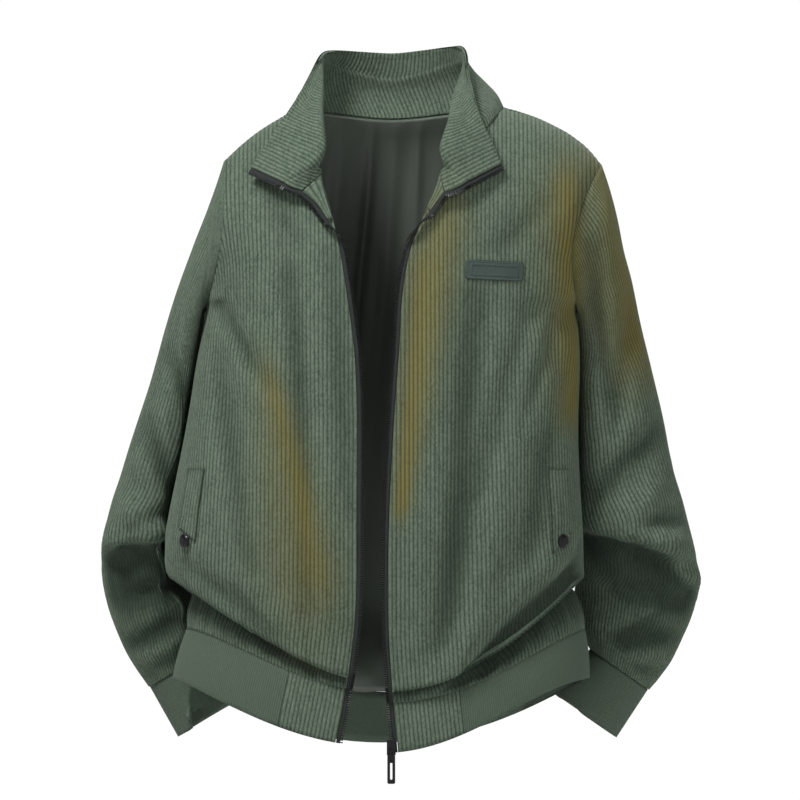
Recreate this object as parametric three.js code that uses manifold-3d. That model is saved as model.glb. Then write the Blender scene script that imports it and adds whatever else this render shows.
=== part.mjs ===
// A men's zip jacket in corduroy, filled out with no wearer, open down the front.
// Millimetres, +Z up. X grows to the wearer's left, the front faces -Y, and Z is zero at the back neck seam.
// Right and left are the wearer's. The jacket hangs a little unevenly, so each side has its own sizes.
import * as THREE from 'three';
import Module from 'manifold-3d';
import { mergeVertices } from 'three/addons/utils/BufferGeometryUtils.js';

// Driving sizes
const clothWall = 1.8;        // corduroy with its backing
const ribWall = 3.0;          // doubled rib knit
const tabWall = 3.4;          // hem tab, corduroy both sides
const collarLayer = 1.5;      // each layer of the collar
const liningWall = 1.0;
const seamGap = 0.3;          // between pieces that are sewn together
const edgeTurn = 0.35;        // share of the yoke over which a panel turns to meet its sleeve
const sideY = 5;              // depth of the side seams and the shoulder line
const underarmZ = -200;
const capStartZ = -130;       // where the chest starts to roll back to the shoulder
const sectionPower = 2.35;    // 2 is an ellipse, more is squarer
const sleeveClearance = 3.5;  // between a sleeve and the body beside it
const underarmEase = 3.5;     // more of it close to the underarm

const frontColumns = 18;
const backColumns = 18;
const neckColumns = 7;        // front columns that end on the neckline
const backShoulderColumns = 4;
const tabColumns = 5;         // columns of a hem tab
const bodyRows = 8;           // from the blouse to the underarm
const yokeRows = 9;           // from the underarm to the shoulder

// Body sections by height: edges on the right and left, depth in front of and behind the side seams
const bodySections = [
  { z: -620, right: -226, left: 208, front: 110, back: 112 },
  { z: -560, right: -234, left: 208, front: 116, back: 117 },
  { z: -480, right: -240, left: 207, front: 124, back: 121 },
  { z: -440, right: -239, left: 206, front: 128, back: 121 },
  { z: -373, right: -226, left: 202, front: 127, back: 116 },
  { z: -306, right: -213, left: 199, front: 124, back: 110 },
  { z: -250, right: -203, left: 197, front: 120, back: 106 },
  { z: -200, right: -195, left: 197, front: 116, back: 103 },
  { z: -150, right: -197, left: 209, front: 110, back: 100 },
  { z: -100, right: -198, left: 224, front: 104, back: 97 },
  { z: -40, right: -200, left: 240, front: 98, back: 94 },
  { z: 40, right: -202, left: 244, front: 94, back: 92 },
];

// The front edges, seen from the front, from the hem up to the corner of the neck
const frontEdges = [
  { z: -680, right: -60, left: 9 },
  { z: -623, right: -49, left: 4 },
  { z: -569, right: -41, left: 0 },
  { z: -516, right: -36, left: -2 },
  { z: -409, right: -35, left: 0 },
  { z: -302, right: -35, left: 6 },
  { z: -248, right: -38, left: 10 },
  { z: -195, right: -45, left: 13 },
  { z: -150, right: -52, left: 20 },
  { z: -120, right: -58, left: 30 },
  { z: -90, right: -66, left: 43 },
  { z: -62, right: -74, left: 54 },
];

// The hem ring at the seam and at its lower edge
const hemSections = [
  { drop: 0, right: -217, left: 208, front: 101, back: 96 },
  { drop: 1, right: -232, left: 213, front: 104, back: 99 },
];
const hemSideZ = -547;
const hemSideHeight = 52;
// How much lower the hem seam is at the front or back than at the sides, the height of the band there,
// and how late the seam and the lower edge turn down
const hemDrops = {
  right: { drop: 65, height: 57, seamTurn: 1.6, edgeTurn: 1.3 },
  left: { drop: 76, height: 53, seamTurn: 1.4, edgeTurn: 1.8 },
  back: { drop: 70, height: 55, seamTurn: 1.1, edgeTurn: 1.05 },
};

// The blouse above the hem: rise in blouse heights, share of the way out from hem to body, tuck inward
const blouseProfile = [
  { rise: 0.0, out: 0.0, tuck: 0 },
  { rise: 0.3, out: 0.02, tuck: 2 },
  { rise: 0.58, out: 0.06, tuck: 9 },
  { rise: 0.8, out: 0.18, tuck: 15 },
  { rise: 0.84, out: 0.55, tuck: 8 },
  { rise: 0.84, out: 0.85, tuck: 0 },
  { rise: 1.0, out: 1.0, tuck: 0 },
  { rise: 1.35, out: 1.0, tuck: 0 },
];
const blouseSide = 66;        // height of the gathered strip at the side seams
const blouseFront = 15;       // and at the front edges
const blouseBack = 34;
const gatherDepth = 2.2;

// The shoulder line from tip to tip, carried on across the neck opening
const shoulderLine = [
  { x: -177, z: -46 },
  { x: -159, z: -29 },
  { x: -137, z: -12 },
  { x: -102, z: 8 },
  { x: -60, z: 26 },
  { x: 0, z: 37 },
  { x: 60, z: 30 },
  { x: 120, z: 11 },
  { x: 153, z: 2 },
  { x: 184, z: -13 },
  { x: 210, z: -31 },
  { x: 226, z: -50 },
];

// Half of the neckline on each side: front corner, neck point, centre back
const frontNeck = {
  right: [{ s: 0, x: -74, z: -62 }, { s: 0.4, x: -84, z: -40 }, { s: 0.75, x: -94, z: -12 }, { s: 1, x: -102, z: 8 }],
  left: [{ s: 0, x: 54, z: -62 }, { s: 0.4, x: 76, z: -40 }, { s: 0.75, x: 104, z: -11 }, { s: 1, x: 120, z: 11 }],
};
const backNeck = [
  { s: 0, x: -102, z: 8 },
  { s: 0.2, x: -72, z: 7 },
  { s: 0.5, x: 2, z: 0 },
  { s: 0.8, x: 84, z: 8 },
  { s: 1, x: 120, z: 11 },
];

// Armholes: tip, a pull point that sets how far the middle cuts in, and underarm
const armholes = {
  right: { tipX: -177, pullX: -172, underX: -195, tipZ: -46 },
  left: { tipX: 226, pullX: 180, underX: 197, tipZ: -50 },
};
const armholeFront = 62;
const armholeBack = 66;

// Sleeve rings: outer point, angle of the ring's width above level, half width, half depth,
// depth of the centre, and the turn of the ring about the sleeve
const sleeveRings = {
  right: [
    { x: -184, z: -70, angle: 92, across: 67, deep: 63, y: 8, turn: 0 },
    { x: -196, z: -100, angle: 76, across: 61, deep: 64, y: 13, turn: 4 },
    { x: -210, z: -136, angle: 58, across: 55, deep: 64, y: 20, turn: 8 },
    { x: -226, z: -180, angle: 40, across: 50, deep: 64, y: 29, turn: 12 },
    { x: -241, z: -228, angle: 28, across: 47, deep: 63, y: 40, turn: 15 },
    { x: -257, z: -280, angle: 20, across: 46, deep: 62, y: 50, turn: 18 },
    { x: -273, z: -332, angle: 18, across: 45, deep: 61, y: 57, turn: 18 },
    { x: -290, z: -386, angle: 17, across: 46, deep: 61, y: 62, turn: 18 },
    { x: -303, z: -430, angle: 13, across: 48, deep: 63, y: 66, turn: 15 },
    { x: -310, z: -462, angle: 5, across: 49, deep: 62, y: 70, turn: 10 },
    { x: -311, z: -474, angle: 0, across: 43, deep: 50, y: 77, turn: 6 },
    { x: -312, z: -496, angle: -12, across: 51, deep: 50, y: 80, turn: 3 },
    { x: -306, z: -527, angle: -24, across: 54, deep: 53, y: 82, turn: 0 },
    { x: -291, z: -560, angle: -30, across: 52, deep: 52, y: 84, turn: 0 },
    { x: -274, z: -591, angle: -31, across: 45, deep: 48, y: 85, turn: 0 },
    { x: -260, z: -611, angle: -31, across: 35, deep: 38, y: 86, turn: 0 },
  ],
  left: [
    { x: 235, z: -76, angle: 79, across: 62, deep: 63, y: 8, turn: 0 },
    { x: 243, z: -106, angle: 72, across: 60, deep: 64, y: 13, turn: 4 },
    { x: 250, z: -141, angle: 58, across: 58, deep: 64, y: 20, turn: 8 },
    { x: 259, z: -174, angle: 44, across: 58, deep: 64, y: 28, turn: 12 },
    { x: 270, z: -222, angle: 30, across: 57, deep: 63, y: 36, turn: 14 },
    { x: 281, z: -270, angle: 20, across: 56, deep: 62, y: 43, turn: 16 },
    { x: 293, z: -320, angle: 17, across: 56, deep: 61, y: 48, turn: 16 },
    { x: 306, z: -372, angle: 16, across: 58, deep: 61, y: 52, turn: 16 },
    { x: 319, z: -426, angle: 12, across: 62, deep: 63, y: 56, turn: 14 },
    { x: 328, z: -464, angle: 4, across: 64, deep: 62, y: 60, turn: 10 },
    { x: 330, z: -477, angle: -1, across: 60, deep: 50, y: 67, turn: 6 },
    { x: 334, z: -500, angle: -14, across: 62, deep: 52, y: 71, turn: 3 },
    { x: 328, z: -534, angle: -25, across: 64, deep: 54, y: 75, turn: 0 },
    { x: 311, z: -569, angle: -32, across: 59, deep: 52, y: 78, turn: 0 },
    { x: 291, z: -600, angle: -35, across: 48, deep: 48, y: 80, turn: 0 },
    { x: 279, z: -614, angle: -35, across: 39, deep: 38, y: 81, turn: 0 },
  ],
};
const cuffLength = 62;
const cuffFlare = 1.02;

// The collar, station by station from the right front end to the left one. The roll is where it turns over,
// the tip is its top edge. The rows at 0 and 1 are the front ends.
const collarStations = [
  { f: 0.0, rollX: -115, rollY: -90, rollZ: -70, tipX: -147, tipY: -67, tipZ: -55 },
  { f: 0.06, rollX: -90, rollY: -94, rollZ: -56, tipX: -138, tipY: -63, tipZ: -41 },
  { f: 0.14, rollX: -71, rollY: -90, rollZ: -36, tipX: -128, tipY: -58, tipZ: -26 },
  { f: 0.22, rollX: -71, rollY: -78, rollZ: -6, tipX: -118, tipY: -52, tipZ: -11 },
  { f: 0.29, rollX: -71, rollY: -50, rollZ: 16, tipX: -104, tipY: -42, tipZ: 11 },
  { f: 0.36, rollX: -73, rollY: -8, rollZ: 46, tipX: -87, tipY: -24, tipZ: 40 },
  { f: 0.4, rollX: -72, rollY: 24, rollZ: 62, tipX: -74, tipY: 10, tipZ: 66 },
  { f: 0.44, rollX: -58, rollY: 58, rollZ: 58, tipX: -60, tipY: 50, tipZ: 74 },
  { f: 0.5, rollX: 2, rollY: 80, rollZ: 45, tipX: 4, tipY: 76, tipZ: 72 },
  { f: 0.56, rollX: 62, rollY: 60, rollZ: 60, tipX: 64, tipY: 52, tipZ: 78 },
  { f: 0.6, rollX: 79, rollY: 26, rollZ: 64, tipX: 79, tipY: 10, tipZ: 74 },
  { f: 0.64, rollX: 78, rollY: -12, rollZ: 48, tipX: 82, tipY: -32, tipZ: 49 },
  { f: 0.71, rollX: 66, rollY: -46, rollZ: 17, tipX: 90, tipY: -62, tipZ: 13 },
  { f: 0.78, rollX: 59, rollY: -78, rollZ: -7, tipX: 99, tipY: -74, tipZ: -9 },
  { f: 0.86, rollX: 55, rollY: -94, rollZ: -36, tipX: 107, tipY: -77, tipZ: -25 },
  { f: 0.94, rollX: 68, rollY: -98, rollZ: -57, tipX: 113, tipY: -81, tipZ: -40 },
  { f: 1.0, rollX: 84, rollY: -99, rollZ: -69, tipX: 118, tipY: -84, tipZ: -51 },
];
const collarEnds = {
  right: { x: -93, y: -86, z: -80 },
  left: { x: 58, y: -95, z: -82 },
};
const collarEndLift = { forward: 5, reach: 0.16 };  // the ends lie in front of the panels

// The turned-out corner of each front below the collar's end: inner border and zip edge
const facings = {
  right: [
    { innerX: -69, innerZ: -82, outerX: -79, outerZ: -92 },
    { innerX: -61, innerZ: -109, outerX: -66, outerZ: -110 },
  ],
  left: [
    { innerX: 47, innerZ: -80, outerX: 50, outerZ: -91 },
    { innerX: 39, innerZ: -97, outerX: 43, outerZ: -101 },
  ],
};
const facingLift = 4.5;

// Fittings
const welt = { inner: 12, outer: 14, topZ: -375, bottomZ: -467, wall: 1.8, lift: 0.4 };
const snapRadius = 7.5;
const snapHeight = 3.2;
const snapLift = 0.9;
const badge = { x: 111, z: -164.5, width: 62, height: 21, tilt: 2.5, wall: 1.8, lift: 0.6 };
const tape = { from: 0.5, to: 3.0, wall: 0.8 };
const chain = { from: 4.4, to: 8.6, wall: 2.4 };
const slider = { width: 9.5, height: 16, depth: 7.5 };
const pull = { width: 8.4, length: 31, wall: 1.7, slotWidth: 2.4, slotLength: 21 };
const pinRadius = 0.9;
const pinGap = 0.3;

// Soft folds pressed into the body: side, face, share across, height, half width, half height, lean, depth
const bodyFolds = [
  { side: -1, face: -1, share: 0.62, z: -290, wide: 0.06, tall: 110, lean: 0.16, depth: 4.5 },
  { side: -1, face: -1, share: 0.3, z: -430, wide: 0.07, tall: 120, lean: -0.1, depth: 3.5 },
  { side: 1, face: -1, share: 0.4, z: -330, wide: 0.07, tall: 130, lean: 0.12, depth: 4 },
  { side: 1, face: -1, share: 0.7, z: -250, wide: 0.06, tall: 90, lean: -0.2, depth: 4.5 },
  { side: -1, face: 1, share: 0.55, z: -320, wide: 0.09, tall: 130, lean: 0.15, depth: 5 },
  { side: 1, face: 1, share: 0.6, z: -380, wide: 0.09, tall: 120, lean: -0.12, depth: 5 },
  { side: 1, face: 1, share: 0.25, z: -260, wide: 0.08, tall: 110, lean: 0.1, depth: 4 },
];

// Creases on the sleeves: side, distance down as a ring number, middle angle, half width in rings and angle, depth
const sleeveFolds = [
  { side: -1, ring: 6.2, angle: 60, rings: 0.9, spread: 55, depth: 4 },
  { side: -1, ring: 8.2, angle: 95, rings: 0.7, spread: 60, depth: 5 },
  { side: -1, ring: 12.6, angle: 20, rings: 0.7, spread: 60, depth: 4 },
  { side: 1, ring: 5.2, angle: 75, rings: 0.9, spread: 55, depth: 4 },
  { side: 1, ring: 8.0, angle: 60, rings: 0.7, spread: 65, depth: 5 },
  { side: 1, ring: 13.2, angle: 30, rings: 0.7, spread: 60, depth: 4 },
  { side: -1, ring: 7.5, angle: 250, rings: 0.9, spread: 60, depth: 5 },
  { side: 1, ring: 7.0, angle: 260, rings: 0.9, spread: 60, depth: 5 },
];

// Reading tables: a smooth curve through the rows
function read(rows, key, value, column) {
  const last = rows.length - 1;
  if (value <= rows[0][key]) return rows[0][column];
  if (value >= rows[last][key]) return rows[last][column];
  let i = 0;
  while (rows[i + 1][key] < value) i += 1;
  const slope = (j) => {
    const low = Math.max(j - 1, 0);
    const high = Math.min(j + 1, last);
    return (rows[high][column] - rows[low][column]) / (rows[high][key] - rows[low][key]);
  };
  const step = rows[i + 1][key] - rows[i][key];
  const t = (value - rows[i][key]) / step;
  const a = rows[i][column];
  const b = rows[i + 1][column];
  const rise = slope(i) * step;
  const fall = slope(i + 1) * step;
  return (2 * t ** 3 - 3 * t ** 2 + 1) * a + (t ** 3 - 2 * t ** 2 + t) * rise
    + (3 * t ** 2 - 2 * t ** 3) * b + (t ** 3 - t ** 2) * fall;
}
const mix = (a, b, t) => a + (b - a) * t;
const sideName = (side) => (side < 0 ? 'right' : 'left');
const vec = (x, y, z) => new THREE.Vector3(x, y, z);

// One quarter of a section, by angle from the centre to the side
function quarterPoint(section, side, face, angle) {
  const middle = (section.right + section.left) / 2;
  const half = (section.left - section.right) / 2;
  const depth = face < 0 ? section.front : section.back;
  const power = 2 / (face < 0 ? sectionPower : 2.1);
  return [
    middle + side * half * Math.sin(angle) ** power,
    sideY + face * depth * Math.cos(angle) ** power,
  ];
}

// A quarter walked by its length, from x = startX (the front edge or the centre back) to the side
function walkQuarter(section, side, face, startX, share) {
  const steps = 60;
  const points = [];
  for (let i = 0; i <= steps; i += 1) {
    const [x, y] = quarterPoint(section, side, face, (Math.PI / 2) * (i / steps));
    if (side * (x - startX) < 0) continue;
    points.push([x, y]);
  }
  points.unshift([startX, points[0][1]]);
  const lengths = [0];
  for (let i = 1; i < points.length; i += 1) {
    lengths.push(lengths[i - 1] + Math.hypot(points[i][0] - points[i - 1][0], points[i][1] - points[i - 1][1]));
  }
  const target = lengths[lengths.length - 1] * share;
  let i = 1;
  while (i < lengths.length - 1 && lengths[i] < target) i += 1;
  const t = (target - lengths[i - 1]) / Math.max(lengths[i] - lengths[i - 1], 1e-9);
  return [mix(points[i - 1][0], points[i][0], t), mix(points[i - 1][1], points[i][1], t)];
}
const bodySection = (z) => ({
  right: read(bodySections, 'z', z, 'right'),
  left: read(bodySections, 'z', z, 'left'),
  front: read(bodySections, 'z', z, 'front'),
  back: read(bodySections, 'z', z, 'back'),
});
const hemSection = (drop) => ({
  right: mix(hemSections[0].right, hemSections[1].right, drop),
  left: mix(hemSections[0].left, hemSections[1].left, drop),
  front: mix(hemSections[0].front, hemSections[1].front, drop),
  back: mix(hemSections[0].back, hemSections[1].back, drop),
});
const frontEdge = (z, side) => read(frontEdges, 'z', z, sideName(side));
const startOf = (z, side, face, section) => (
  face < 0 ? frontEdge(z, side) : (section.right + section.left) / 2
);

// The hem seam: a ring that is highest at the sides
function hemPoint(side, face, share, drop) {
  const section = hemSection(drop);
  const low = face < 0 ? hemDrops[sideName(side)] : hemDrops.back;
  const startX = startOf(hemSideZ - low.drop - drop * low.height, side, face, section);
  const [x, y] = walkQuarter(section, side, face, startX, share);
  const middle = (section.right + section.left) / 2;
  const half = (section.left - section.right) / 2;
  const lowness = 1 - Math.min(1, ((x - middle) / half) ** 2);
  const seamZ = hemSideZ - low.drop * lowness ** mix(low.seamTurn, low.edgeTurn, drop);
  return vec(x, y, seamZ - drop * mix(hemSideHeight, low.height, lowness));
}

// How deep the body is at x, rolling back to the shoulder line above the cap's start
function faceY(x, z, face) {
  const section = bodySection(z);
  const middle = (section.right + section.left) / 2;
  const half = (section.left - section.right) / 2;
  const depth = face < 0 ? section.front : section.back;
  const power = face < 0 ? sectionPower : 2.1;
  const across = Math.min(1, Math.abs(x - middle) / half);
  let y = face * depth * (1 - across ** power) ** (1 / power);
  const top = read(shoulderLine, 'x', x, 'z');
  const q = (z - capStartZ) / (top - capStartZ);
  if (q > 0) y *= Math.max(0, 1 - Math.min(1, q) ** 2.2) ** (1 / 2.2);
  return sideY + y;
}

// A point on an armhole: 0 is the shoulder tip, 1 the underarm
function armholePoint(side, face, t) {
  const hole = armholes[sideName(side)];
  const turn = Math.PI * t;
  const down = (1 - Math.cos(turn)) / 2;
  const reach = face < 0 ? armholeFront : armholeBack;
  const x = hole.tipX * (1 - down) ** 2 + 2 * hole.pullX * down * (1 - down) + hole.underX * down ** 2;
  return vec(x, sideY + face * reach * Math.sin(turn), mix(hole.tipZ, underarmZ, down));
}
function armholeNormal(side, face, t) {
  const turn = Math.PI * t;
  return vec(0, face * Math.sin(turn), Math.cos(turn));
}

// Where the top row of a column ends
function topPoint(side, face, share) {
  const name = sideName(side);
  const hole = armholes[name];
  if (face < 0) {
    const neckShare = neckColumns / frontColumns;
    if (share <= neckShare) {
      const s = share / neckShare;
      return { x: read(frontNeck[name], 's', s, 'x'), z: read(frontNeck[name], 's', s, 'z') };
    }
    const end = frontNeck[name][3];
    const x = mix(end.x, hole.tipX, (share - neckShare) / (1 - neckShare));
    return { x, z: read(shoulderLine, 'x', x, 'z') };
  }
  const neckShare = 1 - (2 * backShoulderColumns) / backColumns;
  if (share <= neckShare) {
    const s = 0.5 + side * 0.5 * (share / neckShare);
    return { x: read(backNeck, 's', s, 'x'), z: read(backNeck, 's', s, 'z') };
  }
  const end = side < 0 ? backNeck[0] : backNeck[4];
  const x = mix(end.x, hole.tipX, (share - neckShare) / (1 - neckShare));
  return { x, z: read(shoulderLine, 'x', x, 'z') };
}

function foldDepth(side, face, share, z) {
  let depth = 0;
  for (const fold of bodyFolds) {
    if (fold.side !== side || fold.face !== face) continue;
    const rise = (z - fold.z) / fold.tall;
    const across = (share - fold.share - fold.lean * rise) / fold.wide;
    depth += fold.depth * Math.exp(-rise * rise - across * across);
  }
  return depth * Math.min(1, 6 * share) * Math.min(1, 6 * (1 - share));
}

// The body: one point by side, face, share from the front edge or centre back to the side, and row
const blouseRows = blouseProfile.length;
const rowCount = blouseRows + bodyRows + yokeRows;
function bodyPoint(side, face, share, row) {
  const seam = hemPoint(side, face, share, 0);
  const section = hemSection(0);
  const middle = (section.right + section.left) / 2;
  const half = (section.left - section.right) / 2;
  const sideness = Math.min(1, ((seam.x - middle) / half) ** 2);
  const blouse = mix(face < 0 ? blouseFront : blouseBack, blouseSide, sideness ** 1.2);
  const last = blouseProfile[blouseRows - 1];
  const bodyAt = (z) => {
    const at = bodySection(z);
    const [x, y] = walkQuarter(at, side, face, startOf(z, side, face, at), share);
    const out = vec(x - (at.right + at.left) / 2, (y - sideY) * 1.6, 0).normalize();
    const depth = foldDepth(side, face, share, z);
    return vec(x - out.x * depth, y - out.y * depth, z);
  };
  if (row < blouseRows) {
    const step = blouseProfile[row];
    const z = seam.z + seamGap + step.rise * blouse;
    const body = bodyAt(Math.max(z, seam.z + 0.9 * blouse));
    const out = vec(body.x - middle, (body.y - sideY) * 1.6, 0).normalize();
    const weight = mix(face < 0 ? 0.12 : 0.4, 1, sideness);
    const columns = face < 0 ? frontColumns : backColumns / 2;
    const gather = gatherDepth * Math.cos(Math.PI * share * columns) * Math.sin(Math.PI * Math.min(1, step.rise));
    const inward = step.tuck * weight - (step.out < 0.5 ? gather : 0);
    return vec(
      mix(seam.x, body.x, step.out) - out.x * inward,
      mix(seam.y, body.y, step.out) - out.y * inward,
      z,
    );
  }
  const startZ = seam.z + seamGap + last.rise * blouse;
  if (row < blouseRows + bodyRows) {
    const t = (row - blouseRows + 1) / bodyRows;
    return bodyAt(mix(startZ, underarmZ, t));
  }
  const t = (row - blouseRows - bodyRows + 1) / yokeRows;
  const w = (1 - Math.cos(Math.PI * t)) / 2;
  const top = topPoint(side, face, share);
  const low = bodyAt(underarmZ);
  const z = mix(underarmZ, top.z, w);
  let x = mix(low.x, top.x, w);
  if (face < 0) {
    const edgeTop = topPoint(side, face, 0);
    const edgeLow = frontEdge(underarmZ, side);
    const edgeZ = mix(underarmZ, edgeTop.z, w);
    x += (1 - share) ** 3 * (frontEdge(edgeZ, side) - mix(edgeLow, edgeTop.x, w));
  }
  const fold = foldDepth(side, face, share, z);
  const point = vec(x, faceY(x, z, face) - face * fold, z);
  const sideZ = mix(underarmZ, armholes[sideName(side)].tipZ, w);
  const sideX = mix(bodySection(underarmZ)[sideName(side)], armholes[sideName(side)].tipX, w);
  const plain = vec(sideX, faceY(sideX, sideZ, face), sideZ);
  const edge = armholePoint(side, face, 1 - t);
  return point.addScaledVector(edge.sub(plain), share ** 4);
}

// Grids of points and their outward normals
function gridNormals(grid, outward) {
  const rows = grid.length;
  const columns = grid[0].length;
  return grid.map((line, i) => line.map((point, j) => {
    const up = grid[Math.min(i + 1, rows - 1)][j].clone().sub(grid[Math.max(i - 1, 0)][j]);
    const along = line[Math.min(j + 1, columns - 1)].clone().sub(line[Math.max(j - 1, 0)]);
    const normal = along.cross(up).normalize();
    if (normal.dot(outward(point)) < 0) normal.negate();
    return normal;
  }));
}
function offsetGrid(grid, normals, distance) {
  return grid.map((line, i) => line.map((point, j) => point.clone().addScaledVector(normals[i][j], distance)));
}

// A closed wall between an outer and an inner grid. A ring's last column meets its first.
function wallGeometry(outer, inner, ring = false) {
  const rows = outer.length;
  const columns = outer[0].length;
  const positions = [];
  for (const grid of [outer, inner]) {
    for (const line of grid) for (const point of line) positions.push(point.x, point.y, point.z);
  }
  const index = [];
  const at = (layer, i, j) => layer * rows * columns + i * columns + (ring ? j % columns : j);
  const quad = (a, b, c, d) => index.push(a, b, c, a, c, d);
  const spans = ring ? columns : columns - 1;
  for (let i = 0; i < rows - 1; i += 1) {
    for (let j = 0; j < spans; j += 1) {
      quad(at(0, i, j), at(0, i, j + 1), at(0, i + 1, j + 1), at(0, i + 1, j));
      quad(at(1, i, j), at(1, i + 1, j), at(1, i + 1, j + 1), at(1, i, j + 1));
    }
  }
  for (let j = 0; j < spans; j += 1) {
    quad(at(0, 0, j), at(1, 0, j), at(1, 0, j + 1), at(0, 0, j + 1));
    quad(at(0, rows - 1, j), at(0, rows - 1, j + 1), at(1, rows - 1, j + 1), at(1, rows - 1, j));
  }
  if (!ring) {
    for (let i = 0; i < rows - 1; i += 1) {
      quad(at(0, i, 0), at(0, i + 1, 0), at(1, i + 1, 0), at(1, i, 0));
      quad(at(0, i, columns - 1), at(1, i, columns - 1), at(1, i + 1, columns - 1), at(0, i + 1, columns - 1));
    }
  }
  return closedGeometry(positions, index);
}

// Faces are turned outward where the enclosed volume comes out negative
function closedGeometry(positions, index) {
  const point = (k) => vec(positions[3 * k], positions[3 * k + 1], positions[3 * k + 2]);
  let volume = 0;
  for (let k = 0; k < index.length; k += 3) {
    volume += point(index[k]).dot(point(index[k + 1]).cross(point(index[k + 2])));
  }
  if (volume < 0) {
    for (let k = 0; k < index.length; k += 3) [index[k + 1], index[k + 2]] = [index[k + 2], index[k + 1]];
  }
  const geometry = new THREE.BufferGeometry();
  geometry.setAttribute('position', new THREE.Float32BufferAttribute(positions, 3));
  geometry.setIndex(index);
  geometry.computeVertexNormals();
  return geometry;
}

const finish = (color, roughness, metalness = 0) => new THREE.MeshStandardMaterial({ color, roughness, metalness });
const paints = {
  corduroy: () => finish(0x5c7360, 0.95),
  rib: () => finish(0x55675a, 0.95),
  lining: () => finish(0x33403a, 0.5),
  tape: () => finish(0x16181a, 0.9),
  metal: () => finish(0x101112, 0.3, 0.6),
  rubber: () => finish(0x18241f, 0.6),
};
const jacket = new THREE.Group();
function addPiece(name, geometry, paint) {
  const mesh = new THREE.Mesh(geometry, paints[paint]());
  mesh.name = name;
  jacket.add(mesh);
  return mesh;
}

// The body's full grid runs from the right front edge round the back to the left front edge
const bodyColumns = [];
for (let j = 0; j <= frontColumns; j += 1) bodyColumns.push({ side: -1, face: -1, share: j / frontColumns });
for (let j = 0; j <= backColumns; j += 1) {
  const across = (2 * j) / backColumns - 1;
  bodyColumns.push({ side: across <= 0 ? -1 : 1, face: 1, share: Math.abs(across) });
}
for (let j = frontColumns; j >= 0; j -= 1) bodyColumns.push({ side: 1, face: -1, share: j / frontColumns });
const bodyGrid = [];
for (let i = 0; i < rowCount; i += 1) {
  bodyGrid.push(bodyColumns.map(({ side, face, share }) => bodyPoint(side, face, share, i)));
}
const outwardFrom = (point) => vec(point.x, (point.y - sideY) * 1.8, Math.max(0, point.z + 90) * 1.5);
function panelNormals(grid, columns) {
  const normals = gridNormals(grid, outwardFrom);
  columns.forEach(({ side, face, share }, j) => {
    normals[0][j].setZ(0).normalize();
    for (let i = 0; i < rowCount; i += 1) {
      const yokeRow = i - blouseRows - bodyRows + 1;
      if (share === 1 && yokeRow < 0) normals[i][j].setY(0).normalize();
      if (share === 1 && yokeRow === 0) normals[i][j].setY(0).normalize();
      if (share === 1 && yokeRow > 0) {
        const down = 1 - yokeRow / yokeRows;
        const byEdge = THREE.MathUtils.clamp((1 - down) / edgeTurn, 0, 1);
        normals[i][j].lerp(armholeNormal(side, face, down), byEdge).normalize();
      }
    }
    const neckShare = face < 0 ? neckColumns / frontColumns : 1 - (2 * backShoulderColumns) / backColumns;
    if (share >= neckShare - 1e-9 && share < 1) {
      const top = grid[rowCount - 1][j];
      const near = read(shoulderLine, 'x', top.x + 4, 'z') - read(shoulderLine, 'x', top.x - 4, 'z');
      normals[rowCount - 1][j].set(-near, 0, 8).normalize();
    }
  });
  return normals;
}

// Sewn edges stand back from the seam by half of the gap
function trimPanel(grid, columns) {
  grid.forEach((line, i) => {
    columns.forEach(({ share, face }, j) => {
      const yokeRow = i - blouseRows - bodyRows + 1;
      if (share === 1 && yokeRow < yokeRows) line[j].y += (face * seamGap) / 2;
      if (i === rowCount - 1 && share > 0) line[j].y += (face * seamGap) / 2;
    });
  });
}
const panels = {
  front_right: [0, frontColumns],
  back: [frontColumns + 1, frontColumns + 1 + backColumns],
  front_left: [frontColumns + backColumns + 2, 2 * frontColumns + backColumns + 2],
};
const panelData = {};
for (const [name, [first, last]] of Object.entries(panels)) {
  const columns = bodyColumns.slice(first, last + 1);
  const outer = bodyGrid.map((line) => line.slice(first, last + 1).map((point) => point.clone()));
  const normals = panelNormals(outer, columns);
  trimPanel(outer, columns);
  const inner = offsetGrid(outer, normals, -clothWall);
  panelData[name] = { outer, inner, normals, columns };
  addPiece(name, wallGeometry(outer, inner), 'corduroy');
}

// The hem: a rib band between two corduroy tabs, on the same columns as the body
const hemRows = 3;
const hemBulge = 1.5;
const hemGrid = [];
const hemNormals = [];
for (let i = 0; i <= hemRows; i += 1) {
  const drop = 1 - i / hemRows;
  const line = bodyColumns.map(({ side, face, share }) => hemPoint(side, face, share, drop));
  const directions = line.map((point) => {
    const across = vec(point.x / 215, (point.y - sideY) / 100, 0);
    return vec(across.x / 215, across.y / 100, 0).normalize();
  });
  hemNormals.push(directions);
  hemGrid.push(line.map((point, j) => point.addScaledVector(directions[j], hemBulge * Math.sin(Math.PI * drop))));
}
function hemPiece(name, columns, wall, paint) {
  const outer = hemGrid.map((line) => columns.map((j) => line[j].clone()));
  const normals = hemNormals.map((line) => columns.map((j) => line[j]));
  for (const line of outer) {
    const first = line[1].clone().sub(line[0]).setLength(seamGap / 2);
    const last = line[line.length - 2].clone().sub(line[line.length - 1]).setLength(seamGap / 2);
    line[0].add(first);
    line[line.length - 1].add(last);
  }
  addPiece(name, wallGeometry(outer, offsetGrid(outer, normals, -wall)), paint);
  return { outer, normals };
}
const columnRange = (first, last) => Array.from({ length: last - first + 1 }, (_, k) => first + k);
const lastColumn = bodyColumns.length - 1;
const skipDoubled = (j) => j !== frontColumns && j !== lastColumn - frontColumns;
const tabRight = hemPiece('hem_tab_right', columnRange(0, tabColumns), tabWall, 'corduroy');
hemPiece('hem_rib', columnRange(tabColumns, lastColumn - tabColumns).filter(skipDoubled), ribWall, 'rib');
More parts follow.
